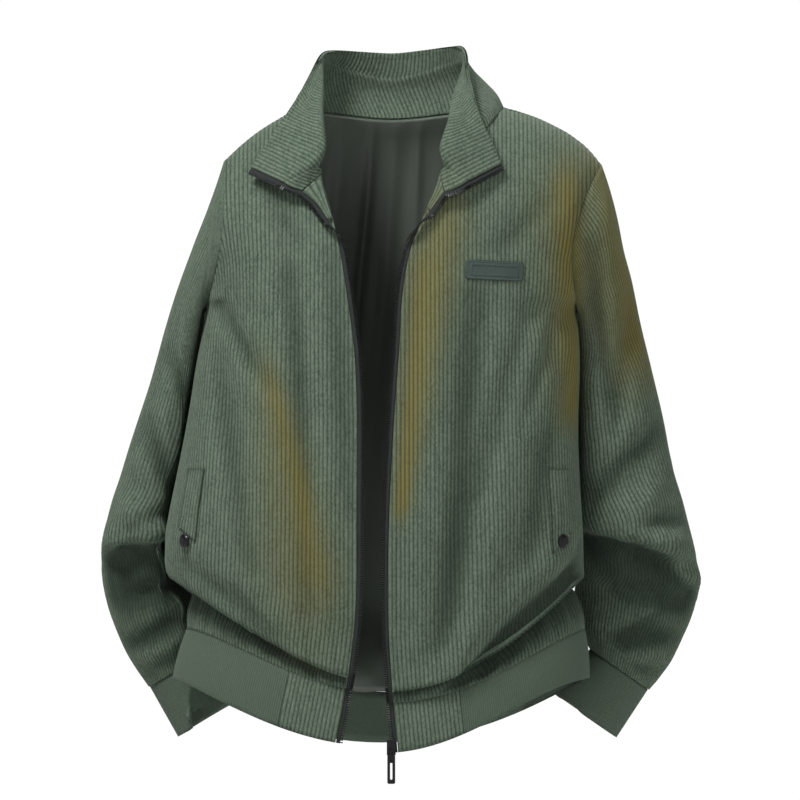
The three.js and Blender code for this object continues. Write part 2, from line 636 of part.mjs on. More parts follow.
const tabLeft = hemPiece('hem_tab_left', columnRange(lastColumn - tabColumns, lastColumn), tabWall, 'corduroy');

// How wide the body and hem are at a depth and height, for keeping the sleeves clear
function bodyReach(side, y, z) {
  const at = z > hemSideZ + 30 ? bodySection(z) : hemSection(1);
  const face = y < sideY ? -1 : 1;
  const middle = (at.right + at.left) / 2;
  const half = (at.left - at.right) / 2;
  const depth = face < 0 ? at.front : at.back;
  const power = face < 0 ? sectionPower : 2.1;
  const deep = Math.abs(y - sideY) / depth;
  if (deep >= 1) return -1e3;
  return side * middle + half * (1 - deep ** power) ** (1 / power);
}

// Sleeves: ring 0 is the armhole, then the table
const ringPoints = 2 * yokeRows;
function ringPoint(side, ring, k) {
  const angle = (2 * Math.PI * k) / ringPoints;
  const lean = THREE.MathUtils.degToRad(ring.angle);
  const turn = THREE.MathUtils.degToRad(ring.turn);
  const across = vec(side * Math.cos(lean), 0, Math.sin(lean));
  const centre = vec(ring.x, ring.y, ring.z).addScaledVector(across, -ring.across);
  const front = vec(0, -Math.cos(turn), 0).addScaledVector(across, Math.sin(turn));
  const outer = across.clone().multiplyScalar(Math.cos(turn)).add(vec(0, Math.sin(turn), 0));
  return centre.addScaledVector(outer, ring.across * Math.cos(angle))
    .addScaledVector(front, ring.deep * Math.sin(angle));
}
function armholeReach(side, z) {
  const hole = armholes[sideName(side)];
  const down = THREE.MathUtils.clamp((hole.tipZ - z) / (hole.tipZ - underarmZ), 0, 1);
  return side * (hole.tipX * (1 - down) ** 2 + 2 * hole.pullX * down * (1 - down) + hole.underX * down ** 2);
}
const reachBlend = 60; // height over which the armhole's edge takes over from the body's side
function clearBody(side, point, extra, soft = 6) {
  const above = THREE.MathUtils.smoothstep(point.z, underarmZ, underarmZ + reachBlend);
  const besideBody = bodyReach(side, point.y, Math.min(point.z, underarmZ));
  const edge = mix(besideBody, armholeReach(side, point.z), above);
  const reach = edge + sleeveClearance + extra;
  const depth = reach - side * point.x;
  const push = depth > soft ? depth : (depth > -soft ? (depth + soft) ** 2 / (4 * soft) : 0);
  point.x += side * push;
  return point;
}
function sleeveRingAt(side, t) {
  const rows = sleeveRings[sideName(side)].map((ring, i) => ({ ...ring, t: i + 1 }));
  const ring = {};
  for (const column of ['x', 'z', 'angle', 'across', 'deep', 'y', 'turn']) ring[column] = read(rows, 't', t, column);
  return ring;
}
function armholeRing(side) {
  const points = [];
  for (let k = 0; k < ringPoints; k += 1) {
    const face = k <= yokeRows ? -1 : 1;
    const t = k <= yokeRows ? k / yokeRows : 2 - k / yokeRows;
    points.push({ point: armholePoint(side, face, t), normal: armholeNormal(side, face, t) });
  }
  return points;
}
function foldOnSleeve(side, t, degrees) {
  let depth = 0;
  for (const fold of sleeveFolds) {
    if (fold.side !== side) continue;
    const down = (t - fold.ring) / fold.rings;
    const around = (degrees - fold.angle) / fold.spread;
    depth += fold.depth * Math.exp(-down * down - around * around);
  }
  return depth;
}
const easeEndRing = 4.5;    // where the underarm's ease has run out
const leastRowStep = 5;     // between rows of the sleeve, as on the inside of the elbow
const spreadPasses = 60;
const easeAt = (t) => underarmEase * THREE.MathUtils.clamp((easeEndRing - t) / 3, 0, 1);
function centreOf(line) {
  return line.reduce((sum, p) => sum.add(p), vec(0, 0, 0)).divideScalar(line.length);
}
function spreadRows(grid) {
  const last = grid.length - 1;
  const axes = grid.slice(0, last).map((line, i) => centreOf(grid[i + 1]).sub(centreOf(line)).normalize());
  for (let pass = 0; pass < spreadPasses; pass += 1) {
    for (let i = 1; i < last - 1; i += 1) {
      for (let k = 0; k < ringPoints; k += 1) {
        const step = grid[i + 1][k].clone().sub(grid[i][k]).dot(axes[i]);
        if (step >= leastRowStep) continue;
        grid[i][k].addScaledVector(axes[i], (step - leastRowStep) / 2);
        grid[i + 1][k].addScaledVector(axes[i], (leastRowStep - step) / 2);
      }
    }
  }
}

// Evens out the rows on the side that faces the body, where the rings crowd together
const evenPasses = 40;
const innerSide = { from: 0.3, blend: 0.6, step: 0.5, soft: 0.5 };
const crowdedRows = [1, 2, 3, 4, 5, 6, 10, 11, 12, 13];
function evenInnerSide(side, grid) {
  for (let pass = 0; pass < evenPasses; pass += 1) {
    const before = grid.map((line) => line.map((point) => point.clone()));
    for (const i of crowdedRows) {
      for (let k = 0; k < ringPoints; k += 1) {
        const facing = innerSide.from - Math.cos((2 * Math.PI * k) / ringPoints);
        const inward = THREE.MathUtils.clamp(facing / innerSide.blend, 0, 1);
        const between = before[i - 1][k].clone().lerp(before[i + 1][k], 0.5);
        if (i > 1 && i <= easeEndRing) {
          const beside = before[i][(k + 1) % ringPoints].clone().lerp(before[i][(k + ringPoints - 1) % ringPoints], 0.5);
          between.lerp(beside, 0.5);
        }
        clearBody(side, grid[i][k].lerp(between, innerSide.step * inward), easeAt(i), innerSide.soft);
      }
    }
  }
}
for (const side of [-1, 1]) {
  const name = sideName(side);
  const count = sleeveRings[name].length;
  const first = armholeRing(side);
  const grid = [first.map(({ point }) => point.clone().add(vec(side * seamGap, 0, 0)))];
  for (let t = 1; t <= count; t += 1) {
    const ring = sleeveRingAt(side, t);
    const line = [];
    for (let k = 0; k < ringPoints; k += 1) line.push(clearBody(side, ringPoint(side, ring, k), easeAt(t)));
    grid.push(line);
  }
  evenInnerSide(side, grid);
  spreadRows(grid);
  const normalsOf = (lines) => lines.map((line, i) => line.map((point, k) => {
    const up = lines[Math.max(i - 1, 0)][k].clone().sub(lines[Math.min(i + 1, lines.length - 1)][k]);
    const along = line[(k + 1) % ringPoints].clone().sub(line[(k + ringPoints - 1) % ringPoints]);
    return along.cross(up).normalize().multiplyScalar(-side);
  }));
  const rough = normalsOf(grid);
  for (let i = 2; i < count; i += 1) {
    for (let k = 0; k < ringPoints; k += 1) {
      grid[i][k].addScaledVector(rough[i][k], -foldOnSleeve(side, i, (360 * k) / ringPoints));
    }
  }
  const normals = normalsOf(grid);
  normals[0] = first.map(({ normal }) => normal);
  const cuffAxis = vec(
    -side * Math.sin(THREE.MathUtils.degToRad(-sleeveRings[name][count - 1].angle)),
    0,
    -Math.cos(THREE.MathUtils.degToRad(-sleeveRings[name][count - 1].angle)),
  );
  normals[count] = normals[count].map((n) => n.clone().addScaledVector(cuffAxis, -n.dot(cuffAxis)).normalize());
  addPiece(`sleeve_${name}`, wallGeometry(grid, offsetGrid(grid, normals, -clothWall), true), 'corduroy');

  const seamCentre = centreOf(grid[count]);
  const cuff = [];
  for (let i = 0; i <= 3; i += 1) {
    const down = seamGap + (cuffLength * i) / 3;
    const size = mix(0.97, cuffFlare, i / 3);
    cuff.push(grid[count].map((point) => {
      const moved = seamCentre.clone().addScaledVector(point.clone().sub(seamCentre), size);
      return clearBody(side, moved.addScaledVector(cuffAxis, down), i === 0 ? -30 : 0);
    }));
  }
  const cuffNormals = cuff.map(() => normals[count]);
  addPiece(`cuff_${name}`, wallGeometry(cuff, offsetGrid(cuff, cuffNormals, -ribWall), true), 'rib');
}

// The collar stands on the neckline, on the body's own top row
const topRow = rowCount - 1;
const neckStations = [];
neckStations.push({ f: 0, ...collarEnds.right });
for (let j = 0; j < neckColumns; j += 1) {
  neckStations.push({ f: mix(0.06, 0.36, j / neckColumns), ...panelData.front_right.outer[topRow][j] });
}
for (let j = backShoulderColumns; j <= backColumns - backShoulderColumns; j += 1) {
  const across = (j - backShoulderColumns) / (backColumns - 2 * backShoulderColumns);
  neckStations.push({ f: mix(0.36, 0.64, across), ...panelData.back.outer[topRow][j] });
}
for (let j = neckColumns - 1; j >= 0; j -= 1) {
  const line = panelData.front_left.outer[topRow];
  neckStations.push({ f: mix(0.94, 0.64, j / neckColumns), ...line[line.length - 1 - j] });
}
neckStations.push({ f: 1, ...collarEnds.left });
const standSteps = 3;
const rollSteps = 3;
const leafSteps = 3;
const collarSteps = standSteps + rollSteps + leafSteps;
const collarSeat = 0.7;       // the collar starts this far above the body's neck edge
const collarBulge = 0.14;     // how far the stand bows outward, as a share of its height
const rollRadius = 5.5;
const neckAxis = (point) => vec(point.x - 2, point.y + 10, 0);
function softBend(a, b, c, t) {
  return a.clone().multiplyScalar((1 - t) ** 2).addScaledVector(b, 2 * t * (1 - t)).addScaledVector(c, t * t);
}
const collarGrid = neckStations.map((station) => {
  const at = (column) => read(collarStations, 'f', station.f, column);
  const tip = vec(at('tipX'), at('tipY'), at('tipZ'));
  const corner = vec(at('rollX'), at('rollY'), at('rollZ'));
  const base = vec(station.x, station.y, station.z);
  const endShare = Math.min(station.f, 1 - station.f) / collarEndLift.reach;
  base.y -= collarEndLift.forward * Math.max(0, 1 - endShare);
  const stand = corner.clone().sub(base);
  const leaf = tip.clone().sub(corner);
  const up = stand.clone().normalize();
  const over = leaf.clone().normalize();
  const halfTurn = Math.acos(THREE.MathUtils.clamp(up.dot(over), -1, 1)) / 2;
  const sharpness = rollRadius * (1 / Math.cos(halfTurn) - 1);
  corner.addScaledVector(up.clone().sub(over).normalize(), Math.min(sharpness, rollRadius));
  const tangent = Math.min(rollRadius * Math.tan(halfTurn) + 1, 0.5 * stand.length(), 0.45 * leaf.length());
  base.addScaledVector(up, collarSeat);
  const rollIn = corner.clone().addScaledVector(up, -tangent);
  const rollOut = corner.clone().addScaledVector(over, tangent);
  const outward = neckAxis(base).normalize().multiplyScalar(2 * collarBulge * stand.length());
  const bowed = base.clone().lerp(rollIn, 0.5).add(outward);
  const points = [];
  for (let k = 0; k < standSteps; k += 1) points.push(softBend(base, bowed, rollIn, k / standSteps));
  for (let k = 0; k < rollSteps; k += 1) points.push(softBend(rollIn, corner, rollOut, k / rollSteps));
  for (let k = 0; k <= leafSteps; k += 1) points.push(rollOut.clone().lerp(tip, k / leafSteps));
  return points;
});
const collarNormals = gridNormals(collarGrid, () => vec(0, 0, 0));
const backStation = Math.floor(collarGrid.length / 2);
if (collarNormals[backStation][1].y < 0) collarNormals.forEach((line) => line.forEach((normal) => normal.negate()));
const halfGap = seamGap / 2;

// Inside the roll the outer layer's lower side is bunched up, so its points are spread again
const rollPasses = 4;
const collarUnder = offsetGrid(collarGrid, collarNormals, halfGap + collarLayer);
for (const line of collarUnder) {
  for (let pass = 0; pass < rollPasses; pass += 1) {
    for (let j = standSteps; j <= standSteps + rollSteps; j += 1) {
      line[j].lerp(line[j - 1].clone().lerp(line[j + 1], 0.5), 0.5);
    }
  }
}
addPiece('collar_outer', wallGeometry(
  collarUnder,
  offsetGrid(collarGrid, collarNormals, halfGap),
), 'corduroy');
const collarFace = offsetGrid(collarGrid, collarNormals, -halfGap - collarLayer);
addPiece('collar_inner', wallGeometry(offsetGrid(collarGrid, collarNormals, -halfGap), collarFace), 'corduroy');

// The facing of each turned-out corner lies just in front of the front panel
const facingWall = 1.6;
const facingGap = 1;           // below the collar's end
const facingEdges = {};
for (const side of [-1, 1]) {
  const name = sideName(side);
  const end = collarFace[side < 0 ? 0 : collarFace.length - 1][0];
  const inboard = collarFace[side < 0 ? 1 : collarFace.length - 2][0];
  const below = vec(side * (end.z - inboard.z), 0, -Math.abs(inboard.x - end.x)).setLength(facingGap);
  const topLine = [0, 0.5, 1].map((t) => inboard.clone().lerp(end, t).add(below));
  const outer = [topLine, ...facings[name].map((row) => [0, 0.5, 1].map((t) => {
    const x = mix(row.innerX, row.outerX, t);
    const z = mix(row.innerZ, row.outerZ, t);
    return vec(x, faceY(x, z, -1) - facingLift + 1.2 * (1 - t), z);
  }))];
  const normals = gridNormals(outer, () => vec(0, -1, 0));
  facingEdges[name] = outer.map((line, i) => ({
    point: line[2].clone().addScaledVector(normals[i][2], -facingWall / 2),
    out: line[2].clone().sub(line[0]).normalize(),
  }));
  addPiece(`facing_${name}`, wallGeometry(outer, offsetGrid(outer, normals, -facingWall)), 'corduroy');
}

// The lining of the back hangs inside it, clear of its folds
const liningSide = 4;         // columns left out at each side
const liningOuter = [];
const liningNormals = [];
const liningLift = 1.2;
const liningRows = [{ row: 0, inward: 5 }, { row: 2, inward: 3 }, { row: 3, inward: 3 }];
for (let i = blouseRows; i < topRow; i += 1) liningRows.push({ row: i, inward: 0 });
liningRows.push({ row: topRow, inward: seamGap - liningLift });
for (const { row, inward } of liningRows) {
  const pick = (grid) => grid[row].slice(liningSide, backColumns + 1 - liningSide);
  const normals = pick(panelData.back.normals);
  liningOuter.push(pick(panelData.back.inner).map((point, j) => point.clone().addScaledVector(normals[j], -inward)));
  liningNormals.push(normals);
}
addPiece('lining_back', wallGeometry(
  offsetGrid(liningOuter, liningNormals, -liningLift),
  offsetGrid(liningOuter, liningNormals, -liningLift - liningWall),
), 'lining');

// Pocket welts lie on the fronts' own points, moved out, and each has a snap near its bottom
const rowHeights = (panel, j) => panel.outer.map((line) => line[j].z);
function weltPiece(side) {
  const name = sideName(side);
  const panel = panelData[`front_${name}`];
  const column = (k) => (side < 0 ? k : frontColumns - k);
  const grid = [];
  const normals = [];
  const levels = 6;
  for (let i = 0; i <= levels; i += 1) {
    const z = mix(welt.bottomZ, welt.topZ, i / levels);
    const line = [];
    const directions = [];
    for (let k = welt.inner; k <= welt.outer; k += 1) {
      const j = column(k);
      const columnHeights = rowHeights(panel, j);
      let row = blouseRows;
      while (columnHeights[row + 1] < z) row += 1;
      const t = (z - columnHeights[row]) / (columnHeights[row + 1] - columnHeights[row]);
      line.push(panel.outer[row][j].clone().lerp(panel.outer[row + 1][j], t));
      directions.push(panel.normals[row][j].clone().lerp(panel.normals[row + 1][j], t).normalize());
    }
    grid.push(line);
    normals.push(directions);
  }
  const top = offsetGrid(grid, normals, welt.lift + welt.wall);
  addPiece(`pocket_welt_${name}`, wallGeometry(top, offsetGrid(grid, normals, welt.lift)), 'corduroy');
  return { point: top[1][1], normal: normals[1][1] };
}
const domeProfile = [
  [0, 0], [snapRadius, 0], [snapRadius, 0.9], [snapRadius * 0.86, snapHeight * 0.66],
  [snapRadius * 0.5, snapHeight * 0.93], [0, snapHeight],
].map(([x, y]) => new THREE.Vector2(x, y));
for (const side of [-1, 1]) {
  const { point, normal } = weltPiece(side);
  const snap = addPiece(`snap_${sideName(side)}`, new THREE.LatheGeometry(domeProfile, 20), 'metal');
  snap.position.copy(point).addScaledVector(normal, snapLift);
  snap.quaternion.setFromUnitVectors(vec(0, 1, 0), normal);
}

// The badge: a bare patch that follows the chest, with a plain raised frame round its middle
function chestPoint(u, v, lift) {
  const tilt = THREE.MathUtils.degToRad(badge.tilt);
  const x = badge.x + u * Math.cos(tilt) + v * Math.sin(tilt);
  const z = badge.z - u * Math.sin(tilt) + v * Math.cos(tilt);
  const panel = panelData.front_left.outer;
  let best = null;
  for (let i = blouseRows + 4; i < rowCount - 2; i += 1) {
    for (let j = 0; j < frontColumns; j += 1) {
      const a = panel[i][j];
      const b = panel[i][j + 1];
      const c = panel[i + 1][j];
      const d = panel[i + 1][j + 1];
      for (const [p, q, r] of [[a, b, d], [a, d, c]]) {
        const area = (q.x - p.x) * (r.z - p.z) - (r.x - p.x) * (q.z - p.z);
        const s = ((x - p.x) * (r.z - p.z) - (r.x - p.x) * (z - p.z)) / area;
        const t = ((q.x - p.x) * (z - p.z) - (x - p.x) * (q.z - p.z)) / area;
        if (s < -1e-6 || t < -1e-6 || s + t > 1 + 1e-6) continue;
        const y = p.y + s * (q.y - p.y) + t * (r.y - p.y);
        if (best === null || y < best) best = y;
      }
    }
  }
  return vec(x, best - lift, z);
}
function plateGrid(width, height, lift, columns, rows) {
  const grid = [];
  for (let i = 0; i <= rows; i += 1) {
    const line = [];
    for (let j = 0; j <= columns; j += 1) {
      line.push(chestPoint(width * (j / columns - 0.5), height * (i / rows - 0.5), lift));
    }
    grid.push(line);
  }
  return grid;
}
addPiece('badge', wallGeometry(
  plateGrid(badge.width, badge.height, badge.lift + badge.wall, 6, 2),
  plateGrid(badge.width, badge.height, badge.lift, 6, 2),
), 'rubber');
addPiece('badge_frame', wallGeometry(
  plateGrid(badge.width * 0.78, badge.height * 0.52, badge.lift + badge.wall + 1.5, 6, 2),
  plateGrid(badge.width * 0.78, badge.height * 0.52, badge.lift + badge.wall + 0.6, 6, 2),
), 'rubber');

// The open zip: tape and chain run up each front edge, turn over with the corner, and end along the collar
const breakBelow = 13;        // the edge turns over this far below the facing
const breakForward = 2;
function zipPath(side) {
  const name = sideName(side);
  const hem = side < 0 ? tabRight : tabLeft;
  const panel = panelData[`front_${name}`];
  const edge = side < 0 ? 0 : frontColumns;
  const hemEdge = side < 0 ? 0 : tabColumns;
  const inwardX = vec(-side, 0, 0);
  const path = [];
  hem.outer.forEach((line, i) => {
    const point = line[hemEdge].clone().addScaledVector(hem.normals[i][hemEdge], -tabWall / 2);
    path.push({ point, out: inwardX });
  });
  const foot = facings[name][facings[name].length - 1];
  const breakZ = foot.outerZ - breakBelow;
  panel.outer.forEach((line, i) => {
    const beyondBlouse = i >= blouseRows - 2;
    if (!beyondBlouse || line[edge].z > breakZ - breakBelow) return;
    path.push({ point: line[edge].clone().lerp(panel.inner[i][edge], 0.5), out: inwardX });
  });
  const breakX = frontEdge(breakZ, side);
  path.push({ point: vec(breakX, faceY(breakX, breakZ, -1) - breakForward, breakZ), out: vec(0, -1, 0) });
  path.push(...[...facingEdges[name]].reverse());
  const station = side < 0 ? 0 : collarGrid.length - 1;
  const inboard = side < 0 ? 1 : collarGrid.length - 2;
  for (let j = 1; j <= collarSteps; j += 1) {
    const point = collarGrid[station][j];
    path.push({ point, out: point.clone().sub(collarGrid[inboard][j]).normalize() });
  }
  return path;
}
function zipStrip(name, path, size, paint) {
  const front = [];
  const behind = [];
  path.forEach(({ point, out }, i) => {
    const next = path[Math.min(i + 1, path.length - 1)].point;
    const before = path[Math.max(i - 1, 0)].point;
    const along = next.clone().sub(before).normalize();
    const across = out.clone().addScaledVector(along, -out.dot(along)).normalize();
    const face = along.clone().cross(across).normalize();
    const place = (d, lift) => point.clone().addScaledVector(across, d).addScaledVector(face, lift);
    front.push([place(size.from, size.wall / 2), place(size.to, size.wall / 2)]);
    behind.push([place(size.from, -size.wall / 2), place(size.to, -size.wall / 2)]);
  });
  addPiece(name, wallGeometry(front, behind), paint);
}
const sliderTopZ = -662;
for (const side of [-1, 1]) {
  const name = sideName(side);
  const path = zipPath(side);
  if (side > 0) {
    const low = path[0].point;
    const high = path[1].point;
    path[0] = { ...path[0], point: low.clone().lerp(high, (sliderTopZ + 1 - low.z) / (high.z - low.z)) };
  }
  zipStrip(`zip_tape_${name}`, path, tape, 'tape');
  zipStrip(`zip_chain_${name}`, path, chain, 'metal');
}

// Slider, pull and retainer, joined from plain solids
const wasm = await Module();
wasm.setup();
function toSolid(geometry) {
  const bare = geometry.clone();
  bare.deleteAttribute('normal');
  bare.deleteAttribute('uv');
  const merged = mergeVertices(bare, 1e-4);
  return new wasm.Manifold(new wasm.Mesh({
    numProp: 3,
    vertProperties: new Float32Array(merged.attributes.position.array),
    triVerts: new Uint32Array(merged.index.array),
  }));
}
function toGeometry(solid) {
  const mesh = solid.getMesh();
  return closedGeometry(Array.from(mesh.vertProperties), Array.from(mesh.triVerts));
}
const placed = (geometry, x, y, z) => geometry.translate(x, y, z);
const chainEdge = frontEdge(-668, 1) - (chain.from + chain.to) / 2;
const sliderX = chainEdge;
const hemFace = tabLeft.outer[0][tabColumns].y;
const sliderY = hemFace + clothWall / 2;
const pinY = sliderY - slider.depth / 2 - 3.1;
const pinZ = sliderTopZ - slider.height + 4.2;
const alongX = (geometry) => geometry.rotateZ(Math.PI / 2);
let sliderSolid = toSolid(placed(
  new THREE.BoxGeometry(slider.width, slider.depth, slider.height), sliderX, sliderY, sliderTopZ - slider.height / 2,
));
const lugWidth = 1.5;
const eyeHalf = 1.5;
for (const end of [-1, 1]) {
  const lug = new THREE.BoxGeometry(lugWidth, 5.2, 4.2);
  const lugX = sliderX + end * (eyeHalf + pinGap + lugWidth / 2);
  sliderSolid = sliderSolid.add(toSolid(placed(lug, lugX, pinY + 1.2, pinZ)));
}
const pinLength = 2 * (eyeHalf + pinGap) + 1.2;
sliderSolid = sliderSolid.add(toSolid(placed(
  alongX(new THREE.CylinderGeometry(pinRadius, pinRadius, pinLength, 20)), sliderX, pinY, pinZ,
)));
addPiece('zip_slider', toGeometry(sliderSolid), 'metal');

const eyeOuter = pinRadius + pinGap + 1.0;
let pullSolid = toSolid(placed(
  alongX(new THREE.CylinderGeometry(eyeOuter, eyeOuter, 2 * eyeHalf, 24)), sliderX, pinY, pinZ,
));
const neckDrop = 3.2;
pullSolid = pullSolid.add(toSolid(placed(
  new THREE.BoxGeometry(2 * eyeHalf, pull.wall, neckDrop + 1), sliderX, pinY, pinZ - eyeOuter - neckDrop / 2 + 0.6,
)));
pullSolid = pullSolid.subtract(toSolid(placed(
  alongX(new THREE.CylinderGeometry(pinRadius + pinGap, pinRadius + pinGap, 10, 24)), sliderX, pinY, pinZ,
)));
const roundedBar = (width, length) => {
  const shape = new THREE.Shape();
  const r = Math.min(width / 2, 1.8);
  shape.moveTo(-width / 2 + r, 0);
  shape.lineTo(width / 2 - r, 0);
  shape.absarc(width / 2 - r, r, r, -Math.PI / 2, 0);
  shape.lineTo(width / 2, length - r);
  shape.absarc(width / 2 - r, length - r, r, 0, Math.PI / 2);
  shape.lineTo(-width / 2 + r, length);
  shape.absarc(-width / 2 + r, length - r, r, Math.PI / 2, Math.PI);
  shape.lineTo(-width / 2, r);
  shape.absarc(-width / 2 + r, r, r, Math.PI, 1.5 * Math.PI);
  return shape;
};
const barBottom = pinZ - eyeOuter - neckDrop - pull.length + 2;
const plate = new THREE.ExtrudeGeometry(roundedBar(pull.width, pull.length), {
  depth: pull.wall, bevelEnabled: false, curveSegments: 5,
});
plate.rotateX(Math.PI / 2);
pullSolid = pullSolid.add(toSolid(placed(plate, sliderX, pinY + pull.wall / 2, barBottom)));
const slot = new THREE.ExtrudeGeometry(roundedBar(pull.slotWidth, pull.slotLength), {
  depth: 6, bevelEnabled: false, curveSegments: 4,
});
slot.rotateX(Math.PI / 2);
pullSolid = pullSolid.subtract(toSolid(placed(slot, sliderX, pinY + 3, barBottom + 4.5)));
addPiece('zip_pull', toGeometry(pullSolid), 'metal');

const retainer = { width: 7, depth: 5, height: 8 };
addPiece('zip_retainer', placed(
  new THREE.BoxGeometry(retainer.width, retainer.depth, retainer.height),
  sliderX, sliderY, sliderTopZ - slider.height - seamGap - retainer.height / 2,
), 'metal');

export default jacket;
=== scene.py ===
# %% [markdown]
# # A corduroy zip jacket, dressed for its picture
#
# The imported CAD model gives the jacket's form: hollow cloth walls, filled out with no wearer. This script
# puts the cloth on it. Wales, ribs, teeth and stitches are real relief, set out on the same sections as
# the CAD model, so each piece lies on its own solid. Sizes are in millimetres until a mesh is made.

# %% Load the frame
import math

import bpy
import mathutils
import numpy as np
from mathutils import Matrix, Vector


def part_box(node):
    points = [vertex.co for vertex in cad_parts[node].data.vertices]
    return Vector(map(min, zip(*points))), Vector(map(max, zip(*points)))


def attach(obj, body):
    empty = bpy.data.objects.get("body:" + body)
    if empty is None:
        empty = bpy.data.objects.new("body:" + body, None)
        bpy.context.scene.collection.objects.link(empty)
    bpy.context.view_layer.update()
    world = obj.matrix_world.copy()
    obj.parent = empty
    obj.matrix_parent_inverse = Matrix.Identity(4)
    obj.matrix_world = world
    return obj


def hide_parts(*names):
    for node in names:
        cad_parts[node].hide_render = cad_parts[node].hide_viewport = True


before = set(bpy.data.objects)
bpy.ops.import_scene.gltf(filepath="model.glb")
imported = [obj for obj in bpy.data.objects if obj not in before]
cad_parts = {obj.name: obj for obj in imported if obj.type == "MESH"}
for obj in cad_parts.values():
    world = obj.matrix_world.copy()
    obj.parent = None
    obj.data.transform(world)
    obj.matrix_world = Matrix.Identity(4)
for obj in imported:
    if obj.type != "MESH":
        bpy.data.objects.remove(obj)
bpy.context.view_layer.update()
GARMENT = "garment"
MM = 0.001

# %% [markdown]
# ## Tables
#
# A jacket's shape comes from its cut. Each table is a column of heights or shares and the sizes that go
# with them, and a smooth curve is read through its rows. The numbers are the CAD model's own.


# %% Tables and how they are read
def table(names, rows):
    columns = np.array(rows, dtype=float).T
    return dict(zip(names.split(), columns))


def read(rows, key, value, column):
    x = rows[key]
    y = rows[column]
    last = len(x) - 1
    value = np.clip(value, x[0], x[-1])
    i = np.clip(np.searchsorted(x, value, side="left") - 1, 0, last - 1)

    def slope(j):
        low = np.maximum(j - 1, 0)
        high = np.minimum(j + 1, last)
        return (y[high] - y[low]) / (x[high] - x[low])

    step = x[i + 1] - x[i]
    t = (value - x[i]) / step
    rise = slope(i) * step
    fall = slope(i + 1) * step
    return ((2 * t**3 - 3 * t**2 + 1) * y[i] + (t**3 - 2 * t**2 + t) * rise
            + (3 * t**2 - 2 * t**3) * y[i + 1] + (t**3 - t**2) * fall)


BODY_SECTIONS = table("z right left front back", [
    (-620, -226, 208, 110, 112), (-560, -234, 208, 116, 117), (-480, -240, 207, 124, 121),
    (-440, -239, 206, 128, 121), (-373, -226, 202, 127, 116), (-306, -213, 199, 124, 110),
    (-250, -203, 197, 120, 106), (-200, -195, 197, 116, 103), (-150, -197, 209, 110, 100),
    (-100, -198, 224, 104, 97), (-40, -200, 240, 98, 94), (40, -202, 244, 94, 92),
])
FRONT_EDGES = table("z right left", [
    (-680, -60, 9), (-623, -49, 4), (-569, -41, 0), (-516, -36, -2), (-409, -35, 0), (-302, -35, 6),
    (-248, -38, 10), (-195, -45, 13), (-150, -52, 20), (-120, -58, 30), (-90, -66, 43), (-62, -74, 54),
])
HEM_SECTIONS = table("drop right left front back", [(0, -217, 208, 101, 96), (1, -232, 213, 104, 99)])
HEM_DROPS = {
    "right": {"drop": 65, "height": 57, "seam_turn": 1.6, "edge_turn": 1.3},
    "left": {"drop": 76, "height": 53, "seam_turn": 1.4, "edge_turn": 1.8},
    "back": {"drop": 70, "height": 55, "seam_turn": 1.1, "edge_turn": 1.05},
}
BLOUSE = table("rise out tuck", [
    (0.0, 0.0, 0), (0.3, 0.02, 2), (0.58, 0.06, 9), (0.8, 0.18, 15),
    (0.84, 0.55, 8), (0.84, 0.85, 0), (1.0, 1.0, 0), (1.35, 1.0, 0),
])
SHOULDER_LINE = table("x z", [
    (-177, -46), (-159, -29), (-137, -12), (-102, 8), (-60, 26), (0, 37),
    (60, 30), (120, 11), (153, 2), (184, -13), (210, -31), (226, -50),
])
FRONT_NECK = {
    "right": table("s x z", [(0, -74, -62), (0.4, -84, -40), (0.75, -94, -12), (1, -102, 8)]),
    "left": table("s x z", [(0, 54, -62), (0.4, 76, -40), (0.75, 104, -11), (1, 120, 11)]),
}
BACK_NECK = table("s x z", [(0, -102, 8), (0.2, -72, 7), (0.5, 2, 0), (0.8, 84, 8), (1, 120, 11)])
ARMHOLES = {
    "right": {"tip": -177, "pull": -172, "under": -195, "tip_z": -46},
    "left": {"tip": 226, "pull": 180, "under": 197, "tip_z": -50},
}
SLEEVE_COLUMNS = "x z angle across deep y turn"
SLEEVE_RINGS = {
    "right": table(SLEEVE_COLUMNS, [
        (-184, -70, 92, 67, 63, 8, 0), (-196, -100, 76, 61, 64, 13, 4), (-210, -136, 58, 55, 64, 20, 8),
        (-226, -180, 40, 50, 64, 29, 12), (-241, -228, 28, 47, 63, 40, 15), (-257, -280, 20, 46, 62, 50, 18),
        (-273, -332, 18, 45, 61, 57, 18), (-290, -386, 17, 46, 61, 62, 18), (-303, -430, 13, 48, 63, 66, 15),
        (-310, -462, 5, 49, 62, 70, 10), (-311, -474, 0, 43, 50, 77, 6), (-312, -496, -12, 51, 50, 80, 3),
        (-306, -527, -24, 54, 53, 82, 0), (-291, -560, -30, 52, 52, 84, 0), (-274, -591, -31, 45, 48, 85, 0),
        (-260, -611, -31, 35, 38, 86, 0),
    ]),
    "left": table(SLEEVE_COLUMNS, [
        (235, -76, 79, 62, 63, 8, 0), (243, -106, 72, 60, 64, 13, 4), (250, -141, 58, 58, 64, 20, 8),
        (259, -174, 44, 58, 64, 28, 12), (270, -222, 30, 57, 63, 36, 14), (281, -270, 20, 56, 62, 43, 16),
        (293, -320, 17, 56, 61, 48, 16), (306, -372, 16, 58, 61, 52, 16), (319, -426, 12, 62, 63, 56, 14),
        (328, -464, 4, 64, 62, 60, 10), (330, -477, -1, 60, 50, 67, 6), (334, -500, -14, 62, 52, 71, 3),
        (328, -534, -25, 64, 54, 75, 0), (311, -569, -32, 59, 52, 78, 0), (291, -600, -35, 48, 48, 80, 0),
        (279, -614, -35, 39, 38, 81, 0),
    ]),
}
